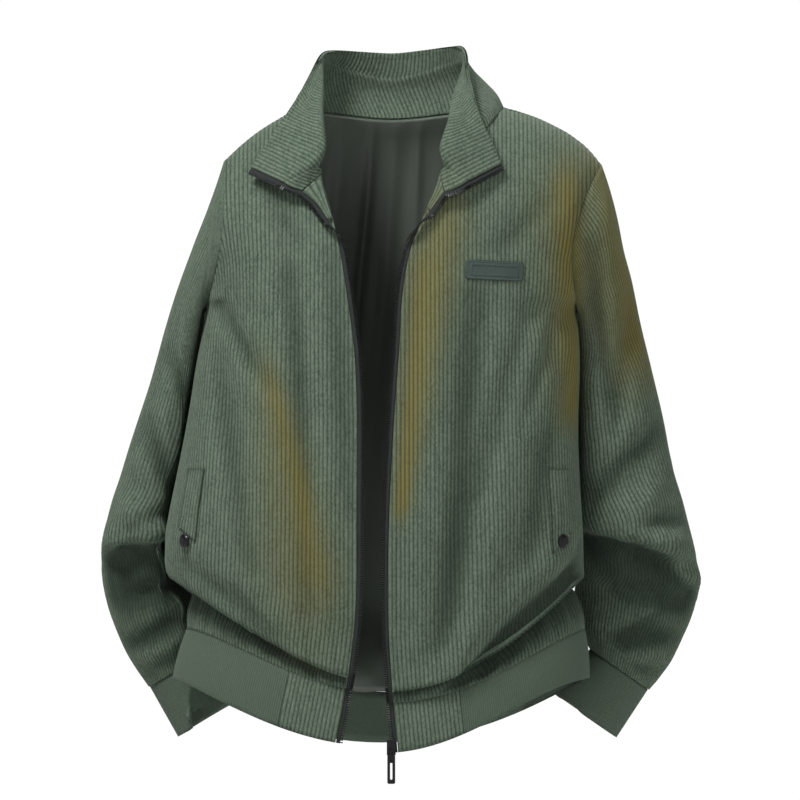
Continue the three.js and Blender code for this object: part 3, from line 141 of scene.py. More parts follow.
COLLAR = table("f roll_x roll_y roll_z tip_x tip_y tip_z", [
    (0.0, -115, -90, -70, -147, -67, -55), (0.06, -90, -94, -56, -138, -63, -41),
    (0.14, -71, -90, -36, -128, -58, -26), (0.22, -71, -78, -6, -118, -52, -11),
    (0.29, -71, -50, 16, -104, -42, 11), (0.36, -73, -8, 46, -87, -24, 40),
    (0.4, -72, 24, 62, -74, 10, 66), (0.44, -58, 58, 58, -60, 50, 74),
    (0.5, 2, 80, 45, 4, 76, 72), (0.56, 62, 60, 60, 64, 52, 78),
    (0.6, 79, 26, 64, 79, 10, 74), (0.64, 78, -12, 48, 82, -32, 49),
    (0.71, 66, -46, 17, 90, -62, 13), (0.78, 59, -78, -7, 99, -74, -9),
    (0.86, 55, -94, -36, 107, -77, -25), (0.94, 68, -98, -57, 113, -81, -40),
    (1.0, 84, -99, -69, 118, -84, -51),
])
COLLAR_ENDS = {"right": (-93, -86, -80), "left": (58, -95, -82)}
FACINGS = {
    "right": table("inner_x inner_z outer_x outer_z", [(-69, -82, -79, -92), (-61, -109, -66, -110)]),
    "left": table("inner_x inner_z outer_x outer_z", [(47, -80, 50, -91), (39, -97, 43, -101)]),
}
print("tables:", len(BODY_SECTIONS["z"]), "body sections,", len(COLLAR["f"]), "collar stations")

# %% [markdown]
# ## The cut
#
# These functions place any point of the jacket: a quarter section walked by its length, the bloused
# fronts and back, the armholes and the sleeves' rings. They follow the CAD model, so a fine surface can
# be drawn through its points.

# %% Sizes and sections
CLOTH = 1.8
RIB_WALL = 3.0
TAB_WALL = 3.4
SEAM = 0.3
SIDE_Y = 5.0
UNDERARM_Z = -200.0
CAP_START_Z = -130.0
POWER = {-1: 2.35, 1: 2.1}
CAP_POWER = 2.2
CLEARANCE = 3.5
UNDERARM_EASE = 3.5
FRONT_COLUMNS = 18
BACK_COLUMNS = 18
NECK_COLUMNS = 7
SHOULDER_COLUMNS = 4
TAB_COLUMNS = 5
BODY_ROWS = 8
YOKE_ROWS = 9
BLOUSE_ROWS = 8
ROWS = BLOUSE_ROWS + BODY_ROWS + YOKE_ROWS
HEM_SIDE_Z = -547.0
HEM_SIDE_HEIGHT = 52.0
BLOUSE_HEIGHT = {-1: 15.0, 1: 34.0}
BLOUSE_SIDE = 66.0
GATHER = 2.2
ARMHOLE_DEPTH = {-1: 62.0, 1: 66.0}
SIDES = {-1: "right", 1: "left"}
BODY_FOLDS = table("side face share z wide tall lean depth", [
    (-1, -1, 0.62, -290, 0.06, 110, 0.16, 4.5), (-1, -1, 0.3, -430, 0.07, 120, -0.1, 3.5),
    (1, -1, 0.4, -330, 0.07, 130, 0.12, 4), (1, -1, 0.7, -250, 0.06, 90, -0.2, 4.5),
    (-1, 1, 0.55, -320, 0.09, 130, 0.15, 5), (1, 1, 0.6, -380, 0.09, 120, -0.12, 5),
    (1, 1, 0.25, -260, 0.08, 110, 0.1, 4),
])
SLEEVE_FOLDS = table("side ring angle rings spread depth", [
    (-1, 6.2, 60, 0.9, 55, 4), (-1, 8.2, 95, 0.7, 60, 5), (-1, 12.6, 20, 0.7, 60, 4),
    (1, 5.2, 75, 0.9, 55, 4), (1, 8.0, 60, 0.7, 65, 5), (1, 13.2, 30, 0.7, 60, 4),
    (-1, 7.5, 250, 0.9, 60, 5), (1, 7.0, 260, 0.9, 60, 5),
])
FOLD_FADE = 6
OUT_DEPTH = 1.6
TUCK_WEIGHT = {-1: 0.12, 1: 0.4}
BLOUSE_START = 0.9


def mix(a, b, t):
    return a + (b - a) * t


def section_at(rows, key, value):
    return {name: float(read(rows, key, value, name)) for name in ("right", "left", "front", "back")}


def body_section(z):
    return section_at(BODY_SECTIONS, "z", z)


def hem_section(drop):
    return {name: mix(*HEM_SECTIONS[name], drop) for name in ("right", "left", "front", "back")}


def middle_of(section):
    return (section["right"] + section["left"]) / 2, (section["left"] - section["right"]) / 2


QUARTER = np.linspace(0, math.pi / 2, 61)


def walk_quarter(section, side, face, start_x, share):
    middle, half = middle_of(section)
    depth = section["front"] if face < 0 else section["back"]
    x = middle + side * half * np.sin(QUARTER) ** (2 / POWER[face])
    y = SIDE_Y + face * depth * np.maximum(np.cos(QUARTER), 0) ** (2 / POWER[face])
    keep = side * (x - start_x) >= 0
    x = np.concatenate([[start_x], x[keep]])
    y = np.concatenate([[y[keep][0]], y[keep]])
    walked = np.concatenate([[0], np.cumsum(np.hypot(np.diff(x), np.diff(y)))])
    target = walked[-1] * share
    return float(np.interp(target, walked, x)), float(np.interp(target, walked, y))


def front_edge(z, side):
    return float(read(FRONT_EDGES, "z", z, SIDES[side]))


def start_of(z, side, face, section):
    return front_edge(z, side) if face < 0 else middle_of(section)[0]


def hem_point(side, face, share, drop):
    section = hem_section(drop)
    low = HEM_DROPS[SIDES[side]] if face < 0 else HEM_DROPS["back"]
    start_x = start_of(HEM_SIDE_Z - low["drop"] - drop * low["height"], side, face, section)
    x, y = walk_quarter(section, side, face, start_x, share)
    middle, half = middle_of(section)
    lowness = 1 - min(1, ((x - middle) / half) ** 2)
    seam_z = HEM_SIDE_Z - low["drop"] * lowness ** mix(low["seam_turn"], low["edge_turn"], drop)
    return np.array([x, y, seam_z - drop * mix(HEM_SIDE_HEIGHT, low["height"], lowness)])


def face_y(x, z, face):
    section = body_section(z)
    middle, half = middle_of(section)
    depth = section["front"] if face < 0 else section["back"]
    across = min(1, abs(x - middle) / half)
    y = face * depth * (1 - across ** POWER[face]) ** (1 / POWER[face])
    top = float(read(SHOULDER_LINE, "x", x, "z"))
    q = (z - CAP_START_Z) / (top - CAP_START_Z)
    if q > 0:
        y *= max(0, 1 - min(1, q) ** CAP_POWER) ** (1 / CAP_POWER)
    return SIDE_Y + y


def armhole_x(side, down):
    hole = ARMHOLES[SIDES[side]]
    return hole["tip"] * (1 - down) ** 2 + 2 * hole["pull"] * down * (1 - down) + hole["under"] * down**2


def armhole_point(side, face, t):
    down = (1 - math.cos(math.pi * t)) / 2
    y = SIDE_Y + face * ARMHOLE_DEPTH[face] * math.sin(math.pi * t)
    return np.array([armhole_x(side, down), y, mix(ARMHOLES[SIDES[side]]["tip_z"], UNDERARM_Z, down)])


def top_point(side, face, share):
    tip = ARMHOLES[SIDES[side]]["tip"]
    if face < 0:
        neck_share = NECK_COLUMNS / FRONT_COLUMNS
        curve = FRONT_NECK[SIDES[side]]
        end_x = curve["x"][-1]
        s = share / neck_share
    else:
        neck_share = 1 - 2 * SHOULDER_COLUMNS / BACK_COLUMNS
        curve = BACK_NECK
        end_x = BACK_NECK["x"][0 if side < 0 else -1]
        s = 0.5 + side * 0.5 * share / neck_share
    if share <= neck_share:
        return float(read(curve, "s", s, "x")), float(read(curve, "s", s, "z"))
    x = mix(end_x, tip, (share - neck_share) / (1 - neck_share))
    return x, float(read(SHOULDER_LINE, "x", x, "z"))


def fold_depth(side, face, share, z):
    mine = (BODY_FOLDS["side"] == side) & (BODY_FOLDS["face"] == face)
    rise = (z - BODY_FOLDS["z"]) / BODY_FOLDS["tall"]
    across = (share - BODY_FOLDS["share"] - BODY_FOLDS["lean"] * rise) / BODY_FOLDS["wide"]
    depth = np.sum(mine * BODY_FOLDS["depth"] * np.exp(-rise**2 - across**2))
    return float(depth) * min(1, FOLD_FADE * share) * min(1, FOLD_FADE * (1 - share))


def unit(v):
    return v / max(float(np.linalg.norm(v)), 1e-9)


def body_at(side, face, share, z):
    section = body_section(z)
    x, y = walk_quarter(section, side, face, start_of(z, side, face, section), share)
    out = unit(np.array([x - middle_of(section)[0], (y - SIDE_Y) * OUT_DEPTH, 0]))
    return np.array([x, y, z]) - out * fold_depth(side, face, share, z)


def body_point(side, face, share, row):
    seam = hem_point(side, face, share, 0)
    middle, half = middle_of(hem_section(0))
    sideness = min(1, ((seam[0] - middle) / half) ** 2)
    blouse = mix(BLOUSE_HEIGHT[face], BLOUSE_SIDE, sideness**1.2)
    if row < BLOUSE_ROWS:
        rise = BLOUSE["rise"][row]
        z = seam[2] + SEAM + rise * blouse
        body = body_at(side, face, share, max(z, seam[2] + BLOUSE_START * blouse))
        out = unit(np.array([body[0] - middle, (body[1] - SIDE_Y) * OUT_DEPTH, 0]))
        weight = mix(TUCK_WEIGHT[face], 1, sideness)
        columns = FRONT_COLUMNS if face < 0 else BACK_COLUMNS / 2
        gather = GATHER * math.cos(math.pi * share * columns) * math.sin(math.pi * min(1, rise))
        inward = BLOUSE["tuck"][row] * weight - (gather if BLOUSE["out"][row] < 0.5 else 0)
        point = mix(seam, body, BLOUSE["out"][row]) - out * inward
        return np.array([point[0], point[1], z])
    start_z = seam[2] + SEAM + BLOUSE["rise"][-1] * blouse
    if row < BLOUSE_ROWS + BODY_ROWS:
        return body_at(side, face, share, mix(start_z, UNDERARM_Z, (row - BLOUSE_ROWS + 1) / BODY_ROWS))
    t = (row - BLOUSE_ROWS - BODY_ROWS + 1) / YOKE_ROWS
    w = (1 - math.cos(math.pi * t)) / 2
    top_x, top_z = top_point(side, face, share)
    z = mix(UNDERARM_Z, top_z, w)
    x = mix(body_at(side, face, share, UNDERARM_Z)[0], top_x, w)
    if face < 0:
        edge_x, edge_z = top_point(side, face, 0)
        straight = mix(front_edge(UNDERARM_Z, side), edge_x, w)
        x += (1 - share) ** 3 * (front_edge(mix(UNDERARM_Z, edge_z, w), side) - straight)
    point = np.array([x, face_y(x, z, face) - face * fold_depth(side, face, share, z), z])
    side_z = mix(UNDERARM_Z, ARMHOLES[SIDES[side]]["tip_z"], w)
    side_x = mix(body_section(UNDERARM_Z)[SIDES[side]], ARMHOLES[SIDES[side]]["tip"], w)
    plain = np.array([side_x, face_y(side_x, side_z, face), side_z])
    return point + (armhole_point(side, face, 1 - t) - plain) * share**4


def panel_grid(place, columns, rows):
    return np.array([[place(*column, row) for column in columns] for row in rows])


RIGHT_COLUMNS = [(-1, -1, j / FRONT_COLUMNS) for j in range(FRONT_COLUMNS + 1)]
LEFT_COLUMNS = [(1, -1, j / FRONT_COLUMNS) for j in range(FRONT_COLUMNS, -1, -1)]
BACK_COLUMN_LIST = [
    (-1 if j <= BACK_COLUMNS / 2 else 1, 1, abs(2 * j / BACK_COLUMNS - 1)) for j in range(BACK_COLUMNS + 1)
]
panel_grids = {
    "front_right": panel_grid(body_point, RIGHT_COLUMNS, range(ROWS)),
    "back": panel_grid(body_point, BACK_COLUMN_LIST, range(ROWS)),
    "front_left": panel_grid(body_point, LEFT_COLUMNS, range(ROWS)),
}
for name, face in (("front_right", -1), ("back", 1), ("front_left", -1)):
    side_ends = {"front_right": [-1], "back": [0, -1], "front_left": [0]}[name]
    panel_grids[name][:, side_ends, 1] += face * SEAM / 2
print("panels", {name: grid.shape for name, grid in panel_grids.items()})

# %% [markdown]
# ## Sleeves as rings
#
# A sleeve is a row of rings from the armhole to the cuff. They are moved clear of the body, evened out on
# the side that faces it, and kept apart where the elbow folds, as in the CAD model.

# %% Sleeve rings
RING_POINTS = 2 * YOKE_ROWS
SEAM_FIRST = np.arange(-YOKE_ROWS, YOKE_ROWS + 1)
REACH_BLEND = 60.0
ABOVE_HEM = 30
FAR_INSIDE = -1e3
EASE_RINGS = 3
INNER_SIDE = {"from": 0.3, "blend": 0.6, "step": 0.5, "soft": 0.5}
EASE_END_RING = 4.5
LEAST_ROW_STEP = 5.0
SPREAD_PASSES = 60
EVEN_PASSES = 40
CROWDED_ROWS = [1, 2, 3, 4, 5, 6, 10, 11, 12, 13]


def body_reach(side, y, z):
    hem = hem_section(1)
    beside = z > HEM_SIDE_Z + ABOVE_HEM
    section = {name: np.where(beside, read(BODY_SECTIONS, "z", z, name), hem[name]) for name in hem}
    middle, half = middle_of(section)
    depth = np.where(y < SIDE_Y, section["front"], section["back"])
    power = np.where(y < SIDE_Y, POWER[-1], POWER[1])
    deep = np.abs(y - SIDE_Y) / depth
    reach = side * middle + half * np.maximum(0, 1 - deep**power) ** (1 / power)
    return np.where(deep >= 1, FAR_INSIDE, reach)


def clear_body(side, points, extra, soft=6.0):
    """Moves points sideways until they clear the body, softly near it."""
    points = np.array(points, dtype=float)
    y, z = points[..., 1], points[..., 2]
    rise = np.clip((z - UNDERARM_Z) / REACH_BLEND, 0, 1)
    above = rise * rise * (3 - 2 * rise)
    tip_z = ARMHOLES[SIDES[side]]["tip_z"]
    down = np.clip((tip_z - z) / (tip_z - UNDERARM_Z), 0, 1)
    edge = mix(body_reach(side, y, np.minimum(z, UNDERARM_Z)), side * armhole_x(side, down), above)
    depth = edge + CLEARANCE + extra - side * points[..., 0]
    softly = np.where(depth > -soft, (depth + soft) ** 2 / (4 * soft), 0)
    points[..., 0] += side * np.where(depth > soft, depth, softly)
    return points


def ease_at(row):
    return UNDERARM_EASE * min(1, max(0, (EASE_END_RING - row) / EASE_RINGS))


def even_inner_side(side, grid):
    """Evens out the rows on the side that faces the body, where the rings crowd together."""
    turn = 2 * math.pi * np.arange(-YOKE_ROWS, YOKE_ROWS) / RING_POINTS
    inward = np.clip((INNER_SIDE["from"] - np.cos(turn)) / INNER_SIDE["blend"], 0, 1)[:, None]
    for _ in range(EVEN_PASSES):
        before = grid.copy()
        for i in CROWDED_ROWS:
            between = (before[i - 1] + before[i + 1]) / 2
            if 1 < i <= EASE_END_RING:
                beside = (np.roll(before[i], 1, axis=0) + np.roll(before[i], -1, axis=0)) / 2
                between = (between + beside) / 2
            moved = mix(before[i], between, INNER_SIDE["step"] * inward)
            grid[i] = clear_body(side, moved, ease_at(i), INNER_SIDE["soft"])
    return grid


def spread_rows(grid):
    """Keeps a least step between rows, so the inside of the elbow doesn't fold through itself."""
    centres = grid.mean(axis=1)
    axes = [unit(centres[i + 1] - centres[i]) for i in range(len(grid) - 1)]
    for _ in range(SPREAD_PASSES):
        for i in range(1, len(grid) - 2):
            short = np.maximum(0, LEAST_ROW_STEP - (grid[i + 1] - grid[i]) @ axes[i])[:, None] / 2
            grid[i] -= axes[i] * short
            grid[i + 1] += axes[i] * short
    return grid


def ring_point(side, ring, k):
    angle = 2 * math.pi * k / RING_POINTS
    lean = math.radians(ring["angle"])
    turn = math.radians(ring["turn"])
    across = np.array([side * math.cos(lean), 0, math.sin(lean)])
    centre = np.array([ring["x"], ring["y"], ring["z"]]) - across * ring["across"]
    front = np.array([0, -math.cos(turn), 0]) + across * math.sin(turn)
    outer = across * math.cos(turn) + np.array([0, math.sin(turn), 0])
    return centre + outer * ring["across"] * math.cos(angle) + front * ring["deep"] * math.sin(angle)


def grid_normals(grid, ring=False):
    up = np.gradient(grid, axis=0)
    if ring:
        along = np.roll(grid[:, :-1], -1, axis=1) - np.roll(grid[:, :-1], 1, axis=1)
        along = np.concatenate([along, along[:, :1]], axis=1)
    else:
        along = np.gradient(grid, axis=1)
    normals = np.cross(along, up)
    return normals / np.maximum(np.linalg.norm(normals, axis=2, keepdims=True), 1e-9)


def sleeve_grid(side):
    rings = SLEEVE_RINGS[SIDES[side]]
    lines = []
    first = []
    for k in SEAM_FIRST[:-1]:
        t = abs(k) / YOKE_ROWS
        first.append(armhole_point(side, -1 if k >= 0 else 1, t) + np.array([side * SEAM, 0, 0]))
    lines.append(first)
    count = len(rings["x"])
    for t in range(count):
        ring = {name: float(values[t]) for name, values in rings.items()}
        points = [ring_point(side, ring, k) for k in SEAM_FIRST[:-1]]
        lines.append(clear_body(side, points, ease_at(t + 1)))
    grid = spread_rows(even_inner_side(side, np.array(lines)))
    grid = np.concatenate([grid, grid[:, :1]], axis=1)
    normals = grid_normals(grid, ring=True) * side
    degrees = (360 * SEAM_FIRST / RING_POINTS) % 360
    for i in range(2, count):
        down = (i - SLEEVE_FOLDS["ring"]) / SLEEVE_FOLDS["rings"]
        around = (degrees[:, None] - SLEEVE_FOLDS["angle"]) / SLEEVE_FOLDS["spread"]
        mine = SLEEVE_FOLDS["side"] == side
        depth = np.sum(mine * SLEEVE_FOLDS["depth"] * np.exp(-down**2 - around**2), axis=1)
        grid[i] -= normals[i] * depth[:, None]
    return grid


CUFF_LENGTH = 62.0
CUFF_ROWS = 3
CUFF_START = 0.97
CUFF_FLARE = 1.02
CUFF_SEAM_ROOM = -30


def cuff_grid(side, sleeve):
    lean = math.radians(-float(SLEEVE_RINGS[SIDES[side]]["angle"][-1]))
    axis = np.array([-side * math.sin(lean), 0, -math.cos(lean)])
    last = sleeve[-1]
    centre = last[:-1].mean(axis=0)
    lines = []
    for i in range(CUFF_ROWS + 1):
        size = mix(CUFF_START, CUFF_FLARE, i / CUFF_ROWS)
        moved = centre + (last - centre) * size + axis * (SEAM + CUFF_LENGTH * i / CUFF_ROWS)
        lines.append(clear_body(side, moved, CUFF_SEAM_ROOM if i == 0 else 0))
    return np.array(lines)


sleeve_grids = {side: sleeve_grid(side) for side in SIDES}
cuff_grids = {side: cuff_grid(side, sleeve_grids[side]) for side in SIDES}
print("sleeves", {SIDES[side]: grid.shape for side, grid in sleeve_grids.items()})

# %% [markdown]
# ## The collar's stations
#
# The collar is a surface through stations round the neck. At each one it rises from the neck seam, rolls
# over at its top and falls outward to its tip.

# %% The collar's stations
STAND_STEPS = 3
ROLL_STEPS = 3
LEAF_STEPS = 3
COLLAR_SEAT = 0.7
COLLAR_BULGE = 0.14
ROLL_RADIUS = 5.5
COLLAR_LAYER = 1.5
END_FORWARD = 5.0
END_REACH = 0.16
MOST_OF_STAND = 0.5
MOST_OF_LEAF = 0.45
NECK_MIDDLE = (2, -10)
NECK_SHARES = {"right": (0.06, 0.36), "left": (0.94, 0.64)}


def soft_bend(a, b, c, t):
    return a * (1 - t) ** 2 + b * 2 * t * (1 - t) + c * t**2


def collar_line(f, base):
    corner = np.array([float(read(COLLAR, "f", f, name)) for name in ("roll_x", "roll_y", "roll_z")])
    tip = np.array([float(read(COLLAR, "f", f, name)) for name in ("tip_x", "tip_y", "tip_z")])
    base = np.array(base, dtype=float)
    base[1] -= END_FORWARD * max(0, 1 - min(f, 1 - f) / END_REACH)
    stand = np.linalg.norm(corner - base)
    leaf = np.linalg.norm(tip - corner)
    up = unit(corner - base)
    over = unit(tip - corner)
    half_turn = math.acos(min(1, max(-1, float(up @ over)))) / 2
    corner = corner + unit(up - over) * min(ROLL_RADIUS * (1 / math.cos(half_turn) - 1), ROLL_RADIUS)
    tangent = min(ROLL_RADIUS * math.tan(half_turn) + 1, MOST_OF_STAND * stand, MOST_OF_LEAF * leaf)
    base = base + up * COLLAR_SEAT
    roll_in = corner - up * tangent
    roll_out = corner + over * tangent
    outward = unit(np.array([base[0] - NECK_MIDDLE[0], base[1] - NECK_MIDDLE[1], 0]))
    bow = outward * 2 * COLLAR_BULGE * stand
    bowed = (base + roll_in) / 2 + bow
    points = [soft_bend(base, bowed, roll_in, k / STAND_STEPS) for k in range(STAND_STEPS)]
    points += [soft_bend(roll_in, corner, roll_out, k / ROLL_STEPS) for k in range(ROLL_STEPS)]
    points += [mix(roll_out, tip, k / LEAF_STEPS) for k in range(LEAF_STEPS + 1)]
    return points


right_top = panel_grids["front_right"][-1]
back_top = panel_grids["back"][-1]
left_top = panel_grids["front_left"][-1]
stations = [(0, COLLAR_ENDS["right"])]
for j in range(NECK_COLUMNS):
    stations.append((mix(*NECK_SHARES["right"], j / NECK_COLUMNS), right_top[j]))
neck_span = BACK_COLUMNS - 2 * SHOULDER_COLUMNS
for j in range(neck_span + 1):
    f = mix(NECK_SHARES["right"][1], NECK_SHARES["left"][1], j / neck_span)
    stations.append((f, back_top[j + SHOULDER_COLUMNS]))
for j in range(NECK_COLUMNS - 1, -1, -1):
    stations.append((mix(*NECK_SHARES["left"], j / NECK_COLUMNS), left_top[len(left_top) - 1 - j]))
stations.append((1, COLLAR_ENDS["left"]))
collar_grid = np.array([collar_line(f, base) for f, base in stations])
collar_normals = grid_normals(collar_grid)
if collar_normals[len(stations) // 2][1][1] < 0:
    collar_normals = -collar_normals
HALF_GAP = SEAM / 2
ROLL_PASSES = 4
collar_under = collar_grid + collar_normals * (HALF_GAP + COLLAR_LAYER)
for _ in range(ROLL_PASSES):
    for j in range(STAND_STEPS, STAND_STEPS + ROLL_STEPS + 1):
        beside = (collar_under[:, j - 1] + collar_under[:, j + 1]) / 2
        collar_under[:, j] = (collar_under[:, j] + beside) / 2
collar_face = collar_grid - collar_normals * (HALF_GAP + COLLAR_LAYER)
print("collar", collar_grid.shape)

# %% [markdown]
# ## Fine cloth
#
# Corduroy is woven with rows of pile, the wales, about 4.5 mm apart here. On the real jacket they run
# straight up each panel and are cut off by its edges. So each fine column follows one line of the cloth,
# and a column that would lie past a seam stops at it. The inner side of the wall stays coarse, because it
# only backs the outer one.

# %% Reading a grid smoothly
WALE_PITCH = 4.5
WALE_STEPS = 4
WALE_HEIGHT = 0.62
DENSE = 8


def cubic_weights(t):
    return ((-t + 2 * t**2 - t**3) / 2, (2 - 5 * t**2 + 3 * t**3) / 2,
            (t + 4 * t**2 - 3 * t**3) / 2, (t**3 - t**2) / 2)


def along_rows(grid, places):
    """A smooth curve through the rows, whose slope allows for their uneven spacing."""
    steps = np.diff(grid, axis=0)
    apart = np.median(np.linalg.norm(steps, axis=2), axis=1)[:, None, None]
    slopes = steps / apart
    inner = (slopes[:-1] * apart[1:] + slopes[1:] * apart[:-1]) / (apart[:-1] + apart[1:])
    slopes = np.concatenate([slopes[:1], inner, slopes[-1:]])
    i = np.clip(np.floor(places).astype(int), 0, len(grid) - 2)
    t = (places - i)[:, None, None]
    from_start = (1 + 2 * t) * (1 - t) ** 2 * grid[i] + t * (1 - t) ** 2 * apart[i] * slopes[i]
    return from_start + t**2 * (3 - 2 * t) * grid[i + 1] + t**2 * (t - 1) * apart[i] * slopes[i + 1]


def along_columns(grid, places, ring=False):
    if ring:
        before, after = grid[:, -2:-1], grid[:, 1:2]
    else:
        before, after = 2 * grid[:, :1] - grid[:, 1:2], 2 * grid[:, -1:] - grid[:, -2:-1]
    padded = np.concatenate([before, grid, after], axis=1)
    i = np.clip(np.floor(places).astype(int), 0, grid.shape[1] - 2)
    weights = cubic_weights(places - i)
    rows = np.arange(len(grid))[:, None]
    return sum(weight[..., None] * padded[rows, i + k] for k, weight in enumerate(weights))


def row_places(grid, step):
    lengths = np.linalg.norm(np.diff(grid, axis=0), axis=2).max(axis=1)
    counts = [max(1, round(length / step)) for length in lengths]
    parts = [np.linspace(i, i + 1, count, endpoint=False) for i, count in enumerate(counts)]
    return np.concatenate(parts + [[len(grid) - 1]])


def cloth_columns(rows_grid, across, pitch, steps, ring=False):
    """Column places of each row and their places along the cloth, which across gives for dense points."""
    dense_places = np.linspace(0, rows_grid.shape[1] - 1, (rows_grid.shape[1] - 1) * DENSE + 1)
    dense = along_columns(rows_grid, np.tile(dense_places, (len(rows_grid), 1)), ring)
    lengths = across(dense)
    low = math.floor(lengths.min() / pitch * steps)
    high = math.ceil(lengths.max() / pitch * steps)
    wanted = np.arange(low, high + 1) * pitch / steps
    places = np.array([np.interp(wanted, line, dense_places) for line in lengths])
    reached = np.array([np.interp(place, dense_places, line) for place, line in zip(places, lengths)])
    return places, reached


def ridge(distance, pitch, height):
    """A rounded ridge between narrow valleys, zero in the valley."""
    return height * np.abs(np.sin(math.pi * distance / pitch)) ** 0.7


# %% [markdown]
# ## Creases and fades
#
# The cloth hangs in long soft troughs and ridges. Each row of the table is one crease, drawn on the front
# or the back as it is seen from there, with its own length, width and depth, so that no two are alike.
# Where the cloth hangs over itself, above the elbow and over the hem, a ledge falls in sharply under its
# line and comes back slowly below. The dye has faded to ochre in a few patches, and the same kind of row
# places them.

# %% Creases and fades by place
CREASE_COLUMNS = "face x0 z0 x1 z1 wide depth"
CREASES = {
    "body": table(CREASE_COLUMNS, [
        (-1, -60, -150, -46, -420, 14, 2.4), (-1, -150, -120, -120, -330, 16, -2.2),
        (-1, -105, -170, -82, -520, 13, 2.6), (-1, -190, -230, -150, -480, 13, 2.2),
        (-1, -178, -205, -130, -290, 9, 3.0), (-1, -190, -485, -120, -560, 12, 2.6),
        (-1, -80, -430, -60, -600, 12, -2.0), (-1, 60, -130, 40, -330, 14, -2.4),
        (-1, 95, -190, 60, -560, 17, 3.4), (-1, 150, -215, 95, -400, 12, 2.6),
        (-1, 182, -210, 140, -330, 10, 3.2), (-1, 175, -300, 150, -470, 13, 2.4),
        (-1, 120, -420, 70, -600, 15, -2.6), (-1, 180, -488, 90, -585, 15, 3.4),
        (-1, 165, -90, 110, -150, 14, 1.8), (-1, -140, -60, -100, -130, 14, 1.6),
        (1, -120, -120, -90, -420, 16, 2.8), (1, 20, -80, 10, -300, 18, -2.2),
        (1, 120, -150, 80, -480, 16, 3.0), (1, -175, -220, -120, -400, 12, 3.0),
        (1, 175, -215, 130, -360, 11, 3.0), (1, -40, -330, -70, -560, 15, 2.4),
        (1, 55, -360, 30, -580, 14, -2.2), (1, 165, -400, 90, -570, 15, 2.8),
    ]),
    "sleeve": table(CREASE_COLUMNS, [
        (-1, -238, -250, -206, -330, 10, 2.6), (-1, -262, -330, -222, -420, 12, 3.2),
        (-1, -300, -452, -232, -420, 9, 3.6), (-1, -290, -400, -240, -470, 10, -2.4),
        (-1, -200, -110, -214, -220, 9, -2.0), (-1, -300, -520, -230, -500, 10, 3.4),
        (-1, -285, -570, -225, -540, 9, 3.0), (-1, -262, -600, -216, -575, 8, 2.4),
        (-1, 215, -140, 232, -300, 11, 3.0), (-1, 262, -190, 236, -340, 12, 2.6),
        (-1, 292, -330, 222, -400, 13, 3.4), (-1, 318, -430, 240, -440, 11, 3.6),
        (-1, 300, -370, 250, -450, 10, -2.4), (-1, 326, -520, 250, -506, 10, 3.8),
        (-1, 310, -560, 236, -560, 10, 3.2), (-1, 290, -596, 230, -590, 8, 2.4),
        (1, -240, -240, -200, -340, 12, 3.0), (1, -296, -420, -236, -400, 12, 3.4),
        (1, -300, -500, -230, -520, 11, 3.2), (1, -270, -585, -220, -560, 9, 2.4),
        (1, 266, -230, 220, -330, 12, 3.0), (1, 316, -410, 240, -420, 12, 3.4),
        (1, 322, -520, 250, -530, 11, 3.2), (1, 286, -596, 236, -580, 9, 2.4),
    ]),
}
CREASE_ENDS = 0.55
CREASE_MIDDLE = 0.45
CREASE_RIDGE = 0.35
CREASE_RIDGE_OFF = 1.9
FACE_TURN = 2.2
LEDGE_COLUMNS = "face x0 z0 x1 z1 reach depth"
LEDGES = {
    "body": table(LEDGE_COLUMNS, [
        (-1, 60, -606, 188, -484, 42, 7), (-1, 186, -484, 206, -440, 22, 4),
        (-1, -214, -470, -182, -500, 20, 3), (1, -120, -560, 90, -570, 30, 4),
    ]),
    "sleeve": table(LEDGE_COLUMNS, [
        (-1, -312, -474, -290, -460, 46, 6), (-1, -290, -461, -234, -452, 60, 12),
        (-1, 208, -444, 276, -461, 66, 13), (-1, 276, -461, 326, -500, 40, 9),
        (-1, 330, -508, 250, -548, 26, 3.5), (-1, -300, -500, -236, -512, 26, 3),
        (1, -300, -466, -232, -460, 44, 8), (1, 214, -452, 322, -486, 44, 8),
    ]),
}
LEDGE_EDGE = 5.0
LEDGE_SHARPNESS = 3
LEDGE_TAPER = 0.5
LEDGE_BULGE = 0.4
LEDGE_BULGE_WIDE = 14
MOST_EXPONENT = 40
FADES = table("face x0 z0 x1 z1 wide0 wide1 strength", [
    (-1, -128, -280, -96, -470, 14, 40, 0.34), (-1, -118, -300, -76, -480, 9, 16, 0.26),
    (-1, 56, -125, 14, -410, 26, 11, 0.44), (-1, 30, -170, 11, -410, 15, 8, 0.3),
    (-1, 190, -80, 193, -310, 18, 13, 0.6), (-1, 168, -110, 180, -290, 26, 18, 0.18),
    (-1, 230, -62, 268, -235, 18, 22, 0.6), (-1, 222, -170, 248, -260, 26, 22, 0.2),
    (1, -110, -180, -60, -420, 26, 34, 0.3), (1, 110, -240, 60, -460, 24, 30, 0.28),
    (1, 236, -100, 262, -240, 16, 16, 0.35), (1, -216, -130, -246, -280, 16, 16, 0.3),
])
SWELL_COLUMNS = "half side z0 tall out"
SWELLS = {
    "body": table(SWELL_COLUMNS, [(1, 1, -250, 62, 6), (-1, -1, -250, 50, 2)]),
    "sleeve": table(SWELL_COLUMNS, [
        (1, -1, -250, 60, 3), (1, -1, -525, 62, 13), (-1, 1, -540, 40, 3),
    ]),
}
FOLD_SCALE = 1.45
FADE_TAIL = 2.0
FADE_ON_SIDE = 0.25
FADE_TURN = 2.5


